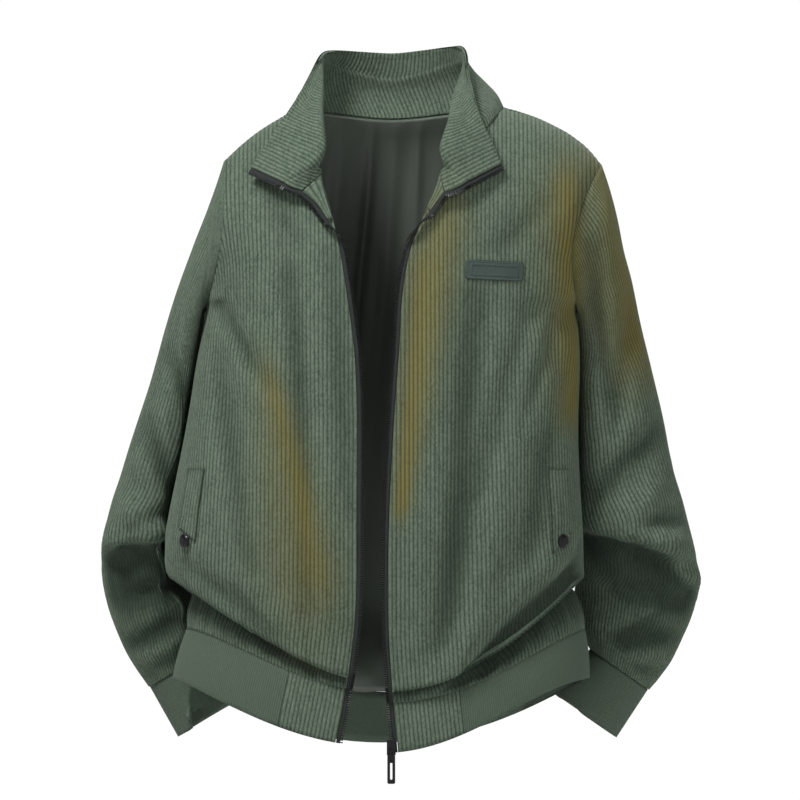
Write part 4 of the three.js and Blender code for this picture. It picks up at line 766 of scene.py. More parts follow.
def place_on(points, rows):
    """How far along each row's line a point lies, and how far off it."""
    x = points[..., 0, None]
    z = points[..., 2, None]
    along_x = rows["x1"] - rows["x0"]
    along_z = rows["z1"] - rows["z0"]
    length = np.hypot(along_x, along_z)
    along = ((x - rows["x0"]) * along_x + (z - rows["z0"]) * along_z) / length**2
    off = ((x - rows["x0"]) * along_z - (z - rows["z0"]) * along_x) / length
    return along, off, length


def faces_row(normals, rows):
    """1 where the cloth faces the same way as the row, fading out towards the side."""
    return np.clip(rows["face"] * normals[..., 1, None] * FACE_TURN, 0, 1)


def ledge_depth(points, normals, rows):
    along, off, length = place_on(points, rows)
    past = np.maximum(np.maximum(-along, along - 1), 0) * length
    taper = np.exp(-((past / (LEDGE_TAPER * rows["reach"])) ** 2))
    under = off * np.sign(rows["x1"] - rows["x0"])
    exponent = np.clip(-under / LEDGE_EDGE * LEDGE_SHARPNESS, -MOST_EXPONENT, MOST_EXPONENT)
    fallen = 1 / (1 + np.exp(exponent))
    shape = fallen * np.exp(-np.maximum(under, 0) / rows["reach"])
    bulge = LEDGE_BULGE * np.exp(-(((under + LEDGE_BULGE_WIDE) / LEDGE_BULGE_WIDE) ** 2))
    return np.sum(rows["depth"] * taper * (shape - bulge) * faces_row(normals, rows), axis=-1)


FLAT_MARGIN = 7.0


def flat_place(name):
    """Centre and half size, as seen from the front, of a fitting that the cloth lies flat under."""
    low, high = (np.array(corner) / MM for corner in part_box(name))
    middle, half = (low + high) / 2, (high - low) / 2
    return middle[0], middle[2], half[0] + FLAT_MARGIN, half[2] + FLAT_MARGIN


FLAT_PLACES = [flat_place(name) for name in ("snap_right", "snap_left", "badge")]


def not_under_fittings(points):
    """0 under a snap or the badge and 1 away from them."""
    share = np.ones(points.shape[:-1])
    for x, z, wide, tall in FLAT_PLACES:
        away = ((points[..., 0] - x) / wide) ** 4 + ((points[..., 2] - z) / tall) ** 4
        share *= 1 - np.exp(-away)
    return share


def swell_out(points, normals, rows):
    """How far the cloth swells out sideways, where the body fills the gap to its sleeve."""
    height = np.exp(-(((points[..., 2, None] - rows["z0"]) / rows["tall"]) ** 2))
    mine = rows["half"] * points[..., 0, None] > 0
    turned = np.clip(rows["side"] * normals[..., 0, None], 0, 1) ** 2 * mine
    return np.sum(rows["out"] * height * turned, axis=-1)


def crease_depth(points, normals, name):
    rows = CREASES[name]
    along, off, length = place_on(points, rows)
    past = np.maximum(np.maximum(-along, along - 1), 0) * length
    rounded = CREASE_ENDS + CREASE_MIDDLE * np.sin(math.pi * np.clip(along, 0, 1))
    taper = np.exp(-((past / rows["wide"]) ** 2)) * rounded
    ridges = CREASE_RIDGE * np.exp(-(((np.abs(off) / rows["wide"]) - CREASE_RIDGE_OFF) ** 2))
    shape = np.exp(-((off / rows["wide"]) ** 2)) - ridges
    pressed = FOLD_SCALE * np.sum(rows["depth"] * taper * shape * faces_row(normals, rows), axis=-1)
    pressed += ledge_depth(points, normals, LEDGES[name])
    return pressed * not_under_fittings(points) - swell_out(points, normals, SWELLS[name])


def fade_at(points, normals):
    along, off, length = place_on(points, FADES)
    wide = mix(FADES["wide0"], FADES["wide1"], np.clip(along, 0, 1))
    past = np.maximum(np.maximum(-along, along - 1), 0) * length
    shape = np.exp(-((off / wide) ** 2)) * np.exp(-((past / (wide * FADE_TAIL)) ** 2))
    seen = np.clip(FADE_ON_SIDE + FADES["face"] * normals[..., 1, None] * FADE_TURN, 0, 1)
    return np.clip(np.sum(FADES["strength"] * shape * seen, axis=-1), 0, 1)


print("creases", {name: len(rows["x0"]) for name, rows in CREASES.items()}, "fades", len(FADES["x0"]))

# %% [markdown]
# ## Making meshes
#
# Every cloth piece is a closed shell: a fine outer side, a coarse inner side and a strip round the edges.
# Points that meet at a seam are joined, so the shell has no slivers. What the material needs, such as how
# deep in a valley a point lies, is kept on the mesh's points.

# %% Mesh tools
def grid_faces(rows, columns, start=0):
    corner = (np.arange(rows - 1)[:, None] * columns + np.arange(columns - 1)[None, :]).ravel() + start
    return np.stack([corner, corner + 1, corner + columns + 1, corner + columns], axis=1)


def stitch_edges(fine, coarse):
    faces = []
    j = 0
    for i in range(len(fine) - 1):
        faces.append((fine[i], fine[i + 1], coarse[j], coarse[j]))
        target = round((i + 1) * (len(coarse) - 1) / (len(fine) - 1))
        while j < target:
            faces.append((fine[i + 1], coarse[j + 1], coarse[j], coarse[j]))
            j += 1
    return faces


def edge_loop(rows, columns, start):
    index = np.arange(rows * columns).reshape(rows, columns) + start
    return index[0], index[:, -1], index[-1, ::-1], index[::-1, 0]


def build_mesh(name, points, faces, finish, attributes):
    points = np.asarray(points, dtype=float)
    faces = np.asarray(faces, dtype=np.int64)
    rounded = np.round(points * 1e4).astype(np.int64)
    _, first, inverse = np.unique(rounded, axis=0, return_index=True, return_inverse=True)
    faces = inverse.reshape(-1)[faces]
    points = points[first]
    kept = []
    for face in faces.tolist():
        corners = [c for i, c in enumerate(face) if c != face[i - 1]]
        if len(set(corners)) >= 3:
            kept.append(corners)
    fans = [(face[0], face[i], face[i + 1]) for face in kept for i in range(1, len(face) - 1)]
    fans = np.array(fans)
    a, b, c = points[fans[:, 0]], points[fans[:, 1]], points[fans[:, 2]]
    if np.sum(a * np.cross(b, c)) < 0:
        kept = [face[::-1] for face in kept]
    mesh = bpy.data.meshes.new(name)
    mesh.from_pydata((points * MM).tolist(), [], kept)
    for key, values in attributes.items():
        layer = mesh.attributes.new(key, "FLOAT", "POINT")
        layer.data.foreach_set("value", np.asarray(values, dtype=np.float32).ravel()[first])
    mesh.shade_smooth()
    mesh.materials.append(finish)
    mesh.update()
    piece = bpy.data.objects.new(name, mesh)
    bpy.context.scene.collection.objects.link(piece)
    return piece, len(fans)


def shell(name, outer, inner, finish, attributes):
    rows, columns = outer.shape[:2]
    inner_rows, inner_columns = inner.shape[:2]
    start = rows * columns
    faces = [grid_faces(rows, columns), grid_faces(inner_rows, inner_columns, start)[:, ::-1]]
    loops = zip(edge_loop(rows, columns, 0), edge_loop(inner_rows, inner_columns, start))
    for fine, coarse in loops:
        faces.append(np.array(stitch_edges(list(fine), list(coarse)))[:, ::-1])
    points = np.concatenate([outer.reshape(-1, 3), inner.reshape(-1, 3)])
    backing = inner_rows * inner_columns
    values = {}
    for key, value in attributes.items():
        values[key] = np.concatenate([np.ravel(value), np.zeros(backing)])
    return build_mesh(name, points, np.concatenate(faces), finish, values)


def thin_out(grid, step_rows, step_columns):
    rows = sorted(set(range(0, grid.shape[0], step_rows)) | {grid.shape[0] - 1})
    columns = sorted(set(range(0, grid.shape[1], step_columns)) | {grid.shape[1] - 1})
    return grid[np.ix_(rows, columns)]


triangle_counts = {}


def keep_piece(piece, count, nodes, body=GARMENT):
    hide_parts(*nodes)
    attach(piece, body)
    triangle_counts[piece.name] = count

# %% [markdown]
# ## Finishes
#
# Corduroy is cotton pile: it scatters light softly, and washing and rubbing leave its tone uneven. Its
# wale valleys, creases, ledges and tucked rows get painted shade, a dark green mixed into the colour. The
# knit is smoother and a little lighter, with painted shade in its rib valleys. The lining is a satin, so
# it has a soft sheen down its folds. All the patterns are procedural, and the fades and the painted shade
# are read from the mesh's own points.

# %% Materials
GREEN = (0.040, 0.058, 0.041, 1)
GREEN_LIGHT = (0.076, 0.100, 0.074, 1)
GREEN_PALE = (0.105, 0.134, 0.100, 1)
# The next colour is painted shade, mixed in at the creases, ledges, tucked rows and wale valleys.
GREEN_PAINTED_SHADE = (0.008, 0.013, 0.009, 1)
OCHRE = (0.112, 0.086, 0.012, 1)
RIB_GREEN = (0.047, 0.065, 0.047, 1)
RIB_LIGHT = (0.070, 0.092, 0.069, 1)
# The next colour is painted shade, mixed into the rib valleys.
RIB_PAINTED_SHADE = (0.028, 0.039, 0.029, 1)
SATIN = (0.046, 0.056, 0.044, 1)
SATIN_LIGHT = (0.064, 0.077, 0.061, 1)
BLACK = (0.010, 0.010, 0.011, 1)
TAPE_BLACK = (0.006, 0.008, 0.007, 1)
RUBBER = (0.012, 0.022, 0.018, 1)
THREAD = (0.046, 0.062, 0.046, 1)


class Finish:
    """A material with its nodes, so that a few lines describe each one."""

    def __init__(self, name, roughness, sheen=0.0, metallic=0.0, specular=0.3):
        self.material = bpy.data.materials.new(name)
        self.material.use_nodes = True
        self.tree = self.material.node_tree
        self.shader = next(node for node in self.tree.nodes if node.type == "BSDF_PRINCIPLED")
        self.set("Roughness", roughness)
        self.set("Sheen Weight", sheen)
        self.set("Sheen Roughness", 0.5)
        self.set("Metallic", metallic)
        self.set("Specular IOR Level", specular)

    def set(self, socket, value):
        self.shader.inputs[socket].default_value = value

    def node(self, kind, **inputs):
        node = self.tree.nodes.new(kind)
        for key, value in inputs.items():
            node.inputs[key.replace("_", " ")].default_value = value
        return node

    def link(self, source, target):
        self.tree.links.new(source, target)

    def stored(self, name):
        node = self.tree.nodes.new("ShaderNodeAttribute")
        node.attribute_name = name
        return node.outputs["Fac"]

    def noise(self, scale, detail, stretch=(1, 1, 1)):
        place = self.tree.nodes.new("ShaderNodeTexCoord")
        mapping = self.node("ShaderNodeMapping", Scale=stretch)
        noise = self.node("ShaderNodeTexNoise", Scale=scale, Detail=detail)
        self.link(place.outputs["Object"], mapping.inputs["Vector"])
        self.link(mapping.outputs["Vector"], noise.inputs["Vector"])
        return noise.outputs["Fac"]

    def blend(self, amount, first, second):
        """Colour first where amount is 0 and second where it is 1."""
        node = self.tree.nodes.new("ShaderNodeMix")
        node.data_type = "RGBA"
        for socket, value in ((0, amount), (6, first), (7, second)):
            if isinstance(value, bpy.types.NodeSocket):
                self.link(value, node.inputs[socket])
            else:
                node.inputs[socket].default_value = value
        return node.outputs[2]

    def ramp(self, value, low, high):
        node = self.tree.nodes.new("ShaderNodeMapRange")
        node.inputs["From Min"].default_value = low
        node.inputs["From Max"].default_value = high
        self.link(value, node.inputs["Value"])
        return node.outputs["Result"]

    def times(self, first, second):
        node = self.tree.nodes.new("ShaderNodeMath")
        node.operation = "MULTIPLY"
        for socket, value in enumerate((first, second)):
            if isinstance(value, bpy.types.NodeSocket):
                self.link(value, node.inputs[socket])
            else:
                node.inputs[socket].default_value = value
        return node.outputs[0]

    def bump(self, height, strength, distance):
        node = self.node("ShaderNodeBump", Strength=strength, Distance=distance)
        self.link(height, node.inputs["Height"])
        self.link(node.outputs["Normal"], self.shader.inputs["Normal"])


def corduroy_finish():
    finish = Finish("corduroy", roughness=0.95, sheen=0.06, specular=0.06)
    finish.set("Sheen Tint", (0.75, 0.85, 0.7, 1))
    washed = finish.ramp(finish.noise(9, 3), 0.3, 0.75)
    rubbed = finish.ramp(finish.noise(150, 3, (1, 1, 0.3)), 0.36, 0.68)
    pile = finish.ramp(finish.noise(480, 3, (1, 1, 0.6)), 0.4, 0.62)
    green = finish.blend(finish.times(washed, 0.35), GREEN, GREEN_LIGHT)
    green = finish.blend(finish.times(rubbed, 0.65), green, GREEN_LIGHT)
    green = finish.blend(finish.times(pile, 0.55), green, GREEN_PALE)
    # Painted shade: creases, ledges and the rows tucked under the blouse are mixed towards a dark green.
    green = finish.blend(finish.times(finish.stored("painted_shade"), 0.75), green, GREEN_PAINTED_SHADE)
    faded = finish.blend(finish.stored("fade"), green, OCHRE)
    # Painted shade in the wale valleys: the colour is mixed towards the same dark green there.
    valley = finish.blend(finish.times(finish.stored("valley"), 0.7), faded, GREEN_PAINTED_SHADE)
    finish.link(valley, finish.shader.inputs["Base Color"])
    finish.bump(finish.noise(1100, 2), 0.35, 0.0004)
    return finish.material


def rib_finish():
    finish = Finish("rib_knit", roughness=0.92, sheen=0.06, specular=0.06)
    loops = finish.ramp(finish.noise(900, 1, (1, 1, 0.5)), 0.3, 0.7)
    green = finish.blend(finish.times(loops, 0.5), RIB_GREEN, RIB_LIGHT)
    # Painted shade in the rib valleys.
    valley = finish.blend(finish.times(finish.stored("valley"), 0.7), green, RIB_PAINTED_SHADE)
    finish.link(valley, finish.shader.inputs["Base Color"])
    finish.bump(finish.noise(900, 1, (1, 1, 0.4)), 0.4, 0.0005)
    return finish.material


def lining_finish():
    finish = Finish("lining", roughness=0.42, sheen=0.1, specular=0.35)
    streaks = finish.ramp(finish.noise(14, 2, (1, 1, 0.06)), 0.4, 0.7)
    finish.link(finish.blend(streaks, SATIN, SATIN_LIGHT), finish.shader.inputs["Base Color"])
    finish.bump(finish.noise(1600, 1, (1, 1, 0.2)), 0.12, 0.0003)
    return finish.material


def plain_finish(name, colour, roughness, metallic=0.0, grain=0.0):
    finish = Finish(name, roughness=roughness, metallic=metallic)
    tone = finish.ramp(finish.noise(300, 2), 0.2, 0.9)
    lighter = tuple(min(1, c * 1.5) for c in colour[:3]) + (1,)
    finish.link(finish.blend(tone, colour, lighter), finish.shader.inputs["Base Color"])
    if grain:
        finish.bump(finish.noise(1500, 2), grain, 0.0003)
    return finish.material


finishes = {
    "corduroy": corduroy_finish(),
    "rib_knit": rib_finish(),
    "lining": lining_finish(),
    "black_metal": plain_finish("black_metal", BLACK, 0.32, metallic=0.7),
    "zip_tape": plain_finish("zip_tape", TAPE_BLACK, 0.9, grain=0.6),
    "patch_rubber": plain_finish("patch_rubber", RUBBER, 0.55, grain=0.3),
    "thread": plain_finish("thread", THREAD, 0.85, grain=0.5),
}
print("finishes", sorted(finishes))

# %% [markdown]
# ## Fronts and back
#
# Each panel is cut with its wales upright. They stand on a fixed line of the cloth, the straight part of
# the zip edge or the centre back, so the shaped edges cut across them. Below the blouse the cloth is
# gathered, so all its wales run on into the shorter hem seam.

# %% Lay the cloth on a grid
ROW_STEP = 5.5
RELIEF_SINK = 0.2
TUCKED_ROWS = 4
TUCK_SHADE = {"dark": 1.2, "middle": 0.75, "fall": 1.6, "most": 0.8, "end": 1.5}
SEAM_ROWS = 4
PRESS_SHADE = 6
RIM_SHADE = 1.3
LEAST_AREA = 0.31
AXIS = {"depth": 1.8, "top_z": -90.0, "rise": 1.5}


def linear_columns(field, places):
    scaled = places * DENSE
    i = np.clip(np.floor(scaled).astype(int), 0, field.shape[1] - 2)
    t = (scaled - i)[..., None]
    rows = np.arange(len(field))[:, None]
    return field[rows, i] * (1 - t) + field[rows, i + 1] * t


def lay_cloth(grid, across, outer_side, pitch, steps, row_step, ring=False):
    """Fine points of a piece, their normals and places along the cloth, with coarser points beside them."""
    row_at = row_places(grid, row_step)
    rows_grid = along_rows(grid, row_at)
    dense_places = np.linspace(0, grid.shape[1] - 1, (grid.shape[1] - 1) * DENSE + 1)
    dense = along_columns(rows_grid, np.tile(dense_places, (len(rows_grid), 1)), ring)
    dense_normals = outer_side(dense, grid_normals(dense, ring))
    places, reached = cloth_columns(rows_grid, lambda line: across(line, row_at), pitch, steps, ring)
    fine = along_columns(rows_grid, places, ring)
    normals = linear_columns(dense_normals, places)
    normals /= np.maximum(np.linalg.norm(normals, axis=2, keepdims=True), 1e-9)
    return {
        "points": fine, "normals": normals, "reached": reached,
        "dense": dense, "dense_normals": dense_normals, "row_at": row_at,
    }


def area_of(grid):
    a = grid[1:, 1:] - grid[:-1, :-1]
    b = grid[1:, :-1] - grid[:-1, 1:]
    return float(np.linalg.norm(np.cross(a, b), axis=2).sum() / 2)


def cut_size(grid):
    """Width, length and area in metres of the cloth that a grid shows."""
    width = np.linalg.norm(np.diff(grid, axis=1), axis=2).sum(axis=1).max()
    length = np.linalg.norm(np.diff(grid, axis=0), axis=2).sum(axis=0).max()
    return width * MM, length * MM, area_of(grid) * MM**2


def declare_sheet(piece, dense):
    width, length, area = cut_size(dense)
    area = max(area, LEAST_AREA * width * length)
    cut = f"cut {width:.3f} x {length:.3f} m, {area:.4f} m2"
    print(f"{piece.name}: {cut}, {triangle_counts[piece.name]} triangles")


def seam_hold(row_count):
    """0 on the first and last row, where a piece is sewn to the next, and 1 a few rows in."""
    rows = np.arange(row_count)
    return np.clip(np.minimum(rows, row_count - 1 - rows) / SEAM_ROWS, 0, 1)[:, None]


def tuck_shade(row_at):
    """Painted shade on the rows that lie tucked under the blouse: how much darker their colour is made."""
    tucked = row_at / TUCKED_ROWS
    away = np.abs(tucked - TUCK_SHADE["middle"]) * TUCK_SHADE["fall"]
    dark = np.clip(TUCK_SHADE["dark"] - away, 0, TUCK_SHADE["most"])
    return dark[:, None] * (tucked < TUCK_SHADE["end"])[:, None]


def dress(name, laid, wall, creases, slot_name, pitch=WALE_PITCH, height=WALE_HEIGHT, rim=0):
    """A corduroy or rib piece on its own laid grid, in place of its CAD node. rim is the width of the
    painted shade that darkens its edges.
    """
    points, normals = laid["points"], laid["normals"]
    relief = ridge(laid["reached"], pitch, height)
    hold = seam_hold(len(points))
    press = crease_depth(points, normals, creases) * hold if creases else 0 * relief
    # Painted shade: the colour darkens with the depth of a crease or ledge.
    shade = np.clip(press / PRESS_SHADE, 0, 1)
    # Painted shade along the piece's edges, in place of the crease shade.
    if rim:
        reached = laid["reached"]
        off_side = np.minimum(reached - reached[:, :1], reached[:, -1:] - reached)
        off_end = np.abs(points - points[:1])[..., 2], np.abs(points - points[-1:])[..., 2]
        shade = np.clip(RIM_SHADE - np.minimum(off_side, np.minimum(*off_end)) / rim, 0, 1)
    # More painted shade on the rows tucked under the blouse.
    if creases == "body":
        shade = np.clip(shade + tuck_shade(laid["row_at"]), 0, 1)
    outer = points + normals * (relief - RELIEF_SINK - press)[..., None]
    thin = (1, DENSE // 4) if creases else (2, DENSE // 2)
    back_points = thin_out(laid["dense"], *thin)
    back_normals = thin_out(laid["dense_normals"], *thin)
    back_press = 0 * back_points[..., 0]
    if creases:
        back_press = crease_depth(back_points, back_normals, creases) * hold
    inner = back_points - back_normals * (wall + back_press)[..., None]
    # The third value is painted shade, which the corduroy's colour reads.
    values = {"valley": 1 - relief / height, "fade": fade_at(points, normals), "painted_shade": shade}
    piece, count = shell(f"{name}_cloth", outer, inner, finishes[slot_name], values)
    keep_piece(piece, count, [name])
    declare_sheet(piece, laid["dense"])


def away_from_axis(points, normals):
    deep = (points[..., 1] - SIDE_Y) * AXIS["depth"]
    high = np.maximum(0, points[..., 2] - AXIS["top_z"]) * AXIS["rise"]
    out = np.stack([points[..., 0], deep, high], axis=2)
    return np.where(np.sum(normals * out, axis=2, keepdims=True) < 0, -normals, normals)


EDGE_LINE = {"front_right": -35.0, "front_left": -2.0}
ROLL_START = -150.0
ROLL_END = -50.0


def panel_across(name):
    def across(dense, row_at):
        step = np.diff(dense, axis=1)
        weight = np.clip((ROLL_END - dense[:, 1:, 2]) / (ROLL_END - ROLL_START), 0, 1)
        lengths = np.hypot(step[..., 0], weight * step[..., 1])
        walked = np.concatenate([np.zeros((len(dense), 1)), np.cumsum(lengths, axis=1)], axis=1)
        widest = walked[np.searchsorted(row_at, BLOUSE_ROWS), -1]
        gathered = row_at < BLOUSE_ROWS
        walked[gathered] *= (widest / walked[gathered, -1])[:, None]
        if name == "back":
            return walked - walked[:, walked.shape[1] // 2, None]
        edge = dense[:, 0 if name == "front_right" else -1, 0]
        shift = np.abs(edge - EDGE_LINE[name])
        shift = np.where(gathered, shift[np.searchsorted(row_at, BLOUSE_ROWS)], shift)[:, None]
        if name == "front_right":
            return walked + shift
        return walked - walked[:, -1:] - shift

    return across


panels = {}
for name in ("front_right", "back", "front_left"):
    laid = lay_cloth(panel_grids[name], panel_across(name), away_from_axis, WALE_PITCH, WALE_STEPS, ROW_STEP)
    panels[name] = laid
    dress(name, laid, CLOTH, "body", "corduroy")

# %% [markdown]
# ## Sleeves and cuffs
#
# A sleeve is one piece of corduroy, closed under the arm. Its wales follow its length from the top line,
# and they crowd together where the sleeve is gathered into the cuff. The cuff is rib knit: narrow upright
# ribs that stretch.

# %% Sleeves and cuffs
TOP_COLUMN = YOKE_ROWS
GATHER_ROW = 13
RIB_PITCH = 2.5
RIB_HEIGHT = 0.55
SLEEVE_ROW_STEP = 6.0
CUFF_ROW_STEP = 4.5


def sleeve_across(line, row_at):
    """The cloth counted from the sleeve's top line, gathered evenly towards the cuff."""
    lengths = np.linalg.norm(np.diff(line, axis=1), axis=2)
    walked = np.concatenate([np.zeros((len(line), 1)), np.cumsum(lengths, axis=1)], axis=1)
    walked = walked - walked[:, TOP_COLUMN * DENSE, None]
    gathered = row_at > GATHER_ROW
    widest = np.ptp(walked[np.searchsorted(row_at, GATHER_ROW)])
    walked[gathered] *= (widest / np.ptp(walked[gathered], axis=1))[:, None]
    return walked


def even_across(line, row_at):
    """The same cloth on every row, so ribs or wales run from edge to edge."""
    lengths = np.linalg.norm(np.diff(line, axis=1), axis=2)
    walked = np.concatenate([np.zeros((len(line), 1)), np.cumsum(lengths, axis=1)], axis=1)
    return walked / walked[:, -1:] * walked[:, -1].mean()


sleeves = {}
for side, side_name in SIDES.items():
    def sleeve_out(points, normals, side=side):
        return normals * side

    laid = lay_cloth(
        sleeve_grids[side], sleeve_across, sleeve_out, WALE_PITCH, WALE_STEPS, SLEEVE_ROW_STEP, ring=True,
    )
    sleeves[side] = laid
    dress(f"sleeve_{side_name}", laid, CLOTH, "sleeve", "corduroy")
    laid = lay_cloth(
        cuff_grids[side], even_across, sleeve_out, RIB_PITCH, WALE_STEPS, CUFF_ROW_STEP, ring=True,
    )
    dress(f"cuff_{side_name}", laid, RIB_WALL, None, "rib_knit", RIB_PITCH, RIB_HEIGHT)

# %% [markdown]
# ## Hem
#
# The hem is a rib knit band that holds the blouse in, with a corduroy tab at each zip end. Its ribs are
# upright and run from the seam to the edge.

# %% Hem band and tabs
HEM_ROWS = 3
HEM_BULGE = 1.5
HEM_ROUND_X = 215.0
HEM_ROUND_Y = 100.0
HEM_ROW_STEP = 5.0


def round_the_hem(points):
    """The way out of the hem's oval at each point."""
    x = points[..., 0] / HEM_ROUND_X**2
    y = (points[..., 1] - SIDE_Y) / HEM_ROUND_Y**2
    return np.stack([x, y, 0 * points[..., 0]], axis=2)


hem_columns = RIGHT_COLUMNS + BACK_COLUMN_LIST + LEFT_COLUMNS
last_hem_column = len(hem_columns) - 1
hem_shares = [1 - i / HEM_ROWS for i in range(HEM_ROWS + 1)]
hem_grid = np.array([[hem_point(*column, share) for column in hem_columns] for share in hem_shares])
hem_normals = round_the_hem(hem_grid)
hem_normals /= np.linalg.norm(hem_normals, axis=2, keepdims=True)
hem_lift = HEM_BULGE * np.sin(math.pi * (1 - np.arange(HEM_ROWS + 1) / HEM_ROWS))
hem_grid = hem_grid + hem_normals * hem_lift[:, None, None]


def hem_part(columns):
    grid = hem_grid[:, columns].copy()
    for end, beside in ((0, 1), (-1, -2)):
        inward = grid[:, beside] - grid[:, end]
        grid[:, end] += inward / np.linalg.norm(inward, axis=1, keepdims=True) * SEAM / 2
    return grid


def hem_out(points, normals):
    facing_in = np.sum(normals * round_the_hem(points), axis=2, keepdims=True) < 0
    return np.where(facing_in, -normals, normals)


doubled = (FRONT_COLUMNS, last_hem_column - FRONT_COLUMNS)
rib_columns = [j for j in range(TAB_COLUMNS, last_hem_column - TAB_COLUMNS + 1) if j not in doubled]
hem_parts = {
    "hem_tab_right": hem_part(list(range(TAB_COLUMNS + 1))),
    "hem_rib": hem_part(rib_columns),
    "hem_tab_left": hem_part(list(range(last_hem_column - TAB_COLUMNS, last_hem_column + 1))),
}
laid = lay_cloth(hem_parts["hem_rib"], even_across, hem_out, RIB_PITCH, WALE_STEPS, HEM_ROW_STEP)
dress("hem_rib", laid, RIB_WALL, None, "rib_knit", RIB_PITCH, RIB_HEIGHT)
for name in ("hem_tab_right", "hem_tab_left"):
    laid = lay_cloth(hem_parts[name], even_across, hem_out, WALE_PITCH, WALE_STEPS, HEM_ROW_STEP)
    dress(name, laid, TAB_WALL, None, "corduroy")

# %% [markdown]
# ## Collar
#
# The collar is two layers of corduroy with its wales across it, in its height. Its front ends are folded
# outward, so the inner layer shows on the leaf and the outer layer lies under it.

# %% Collar layers
COLLAR_ROW_STEP = 4.0
NEAR_STEPS = 4
COLLAR_FADE = 0.4


def collar_layer(name, near_side, face_grid, direction):
    """near_side touches the other layer. direction is the side of the collar's surface that shows."""
    grid = np.swapaxes(face_grid, 0, 1)

    def out(points, normals):
        surface = np.swapaxes(collar_normals, 0, 1) * direction
        coarse = grid_normals(grid)
        sign = np.sign(np.sum(coarse * surface))
        return normals * sign

    laid = lay_cloth(grid, even_across, out, WALE_PITCH, WALE_STEPS, COLLAR_ROW_STEP)
    relief = ridge(laid["reached"], WALE_PITCH, WALE_HEIGHT)
    outer = laid["points"] + laid["normals"] * (relief - RELIEF_SINK)[..., None]
    near = along_rows(np.swapaxes(near_side, 0, 1), laid["row_at"])
    near_places = np.linspace(0, near.shape[1] - 1, (near.shape[1] - 1) * NEAR_STEPS + 1)
    inner = along_columns(near, np.tile(near_places, (len(near), 1)))
    faded = COLLAR_FADE * fade_at(laid["points"], laid["normals"])
    values = {"valley": 1 - relief / WALE_HEIGHT, "fade": faded}
    piece, count = shell(f"{name}_cloth", outer, inner, finishes["corduroy"], values)
    keep_piece(piece, count, [name])
    declare_sheet(piece, laid["dense"])
    return laid


collar_laid = {
    "collar_outer": collar_layer("collar_outer", collar_grid + collar_normals * HALF_GAP, collar_under, 1),
    "collar_inner": collar_layer("collar_inner", collar_grid - collar_normals * HALF_GAP, collar_face, -1),
}

# %% [markdown]
# ## Facings
#
# Where the fronts' top corners turn outward, a strip of the corduroy facing shows under the collar's
# ends.

# %% Facings
FACING_WALL = 1.6
FACING_LIFT = 4.5
FACING_RISE = 1.2
FACING_GAP = 1.0
FACING_ROW_STEP = 3.0
THIRDS = (0, 0.5, 1)
facing_grids = {}


def toward_front(points, normals):
    return np.where(normals[..., 1:2] > 0, -normals, normals)


for side, side_name in SIDES.items():
    station, inboard_station = (0, 1) if side < 0 else (-1, -2)
    end = collar_face[station][0]
    inboard = collar_face[inboard_station][0]
    below = unit(np.array([side * (end[2] - inboard[2]), 0, -abs(inboard[0] - end[0])])) * FACING_GAP
    lines = [[mix(inboard, end, t) + below for t in THIRDS]]
    rows = FACINGS[side_name]
    for i in range(len(rows["inner_x"])):
        line = []
        for t in THIRDS:
            x = mix(rows["inner_x"][i], rows["outer_x"][i], t)
            z = mix(rows["inner_z"][i], rows["outer_z"][i], t)
            line.append(np.array([x, face_y(x, z, -1) - FACING_LIFT + FACING_RISE * (1 - t), z]))
        lines.append(line)
    facing_grids[side] = np.array(lines)
    laid = lay_cloth(facing_grids[side], even_across, toward_front, WALE_PITCH, WALE_STEPS, FACING_ROW_STEP)
    dress(f"facing_{side_name}", laid, FACING_WALL, None, "corduroy")

# %% [markdown]
# ## Lining
#
# The lining hangs plain inside the back, with soft upright folds, and shows through the neck and the open
# front.

# %% Lining of the back
LINING_SIDE = 4
LINING_LIFT = 1.2
LINING_WALL = 1.0
LINING_PITCH = 4.0
LINING_ROW_STEP = 9.0
LINING_SWAY = 0.02
LINING_WAVES = 5
LINING_HANG = 6
LINING_BACK = 0.1
LINING_FOLDS = table("share wide depth", [
    (0.12, 0.02, 2.2), (0.22, 0.03, 1.4), (0.36, 0.018, 2.6), (0.47, 0.03, 1.6),
    (0.58, 0.02, 2.4), (0.69, 0.03, 1.2), (0.8, 0.02, 2.0), (0.91, 0.018, 1.6),
])
back_normals = away_from_axis(panel_grids["back"], grid_normals(panel_grids["back"]))
lining_rows = [(0, 5.0), (2, 3.0), (3, 3.0)] + [(i, 0.0) for i in range(BLOUSE_ROWS, ROWS - 1)]
lining_rows.append((ROWS - 1, SEAM - LINING_LIFT))
picked = slice(LINING_SIDE, BACK_COLUMNS + 1 - LINING_SIDE)
lining_grid = np.array([
    panel_grids["back"][row, picked] - back_normals[row, picked] * (CLOTH + LINING_LIFT + inward)
    for row, inward in lining_rows
])
laid = lay_cloth(lining_grid, even_across, away_from_axis, LINING_PITCH, 1, LINING_ROW_STEP)
line_count = len(laid["points"])
shares = np.linspace(0, 1, laid["points"].shape[1])
sway = LINING_SWAY * np.sin(np.linspace(0, LINING_WAVES, line_count))[:, None, None]
fold_off = (shares[None, :, None] + sway - LINING_FOLDS["share"]) / LINING_FOLDS["wide"]
fold_shape = np.exp(-(fold_off ** 2))
from_top = np.clip(np.linspace(LINING_HANG, 0, line_count), 0, 1)
hang = np.clip(np.linspace(0, LINING_HANG, line_count), 0, 1) * from_top
fold_in = np.sum(fold_shape * LINING_FOLDS["depth"], axis=2) * hang[:, None]
shown = laid["points"] - laid["normals"] * (LINING_WALL + fold_in)[..., None]
lining_normals = thin_out(laid["dense_normals"], 2, DENSE // 2)
behind = thin_out(laid["dense"], 2, DENSE // 2) - lining_normals * LINING_BACK
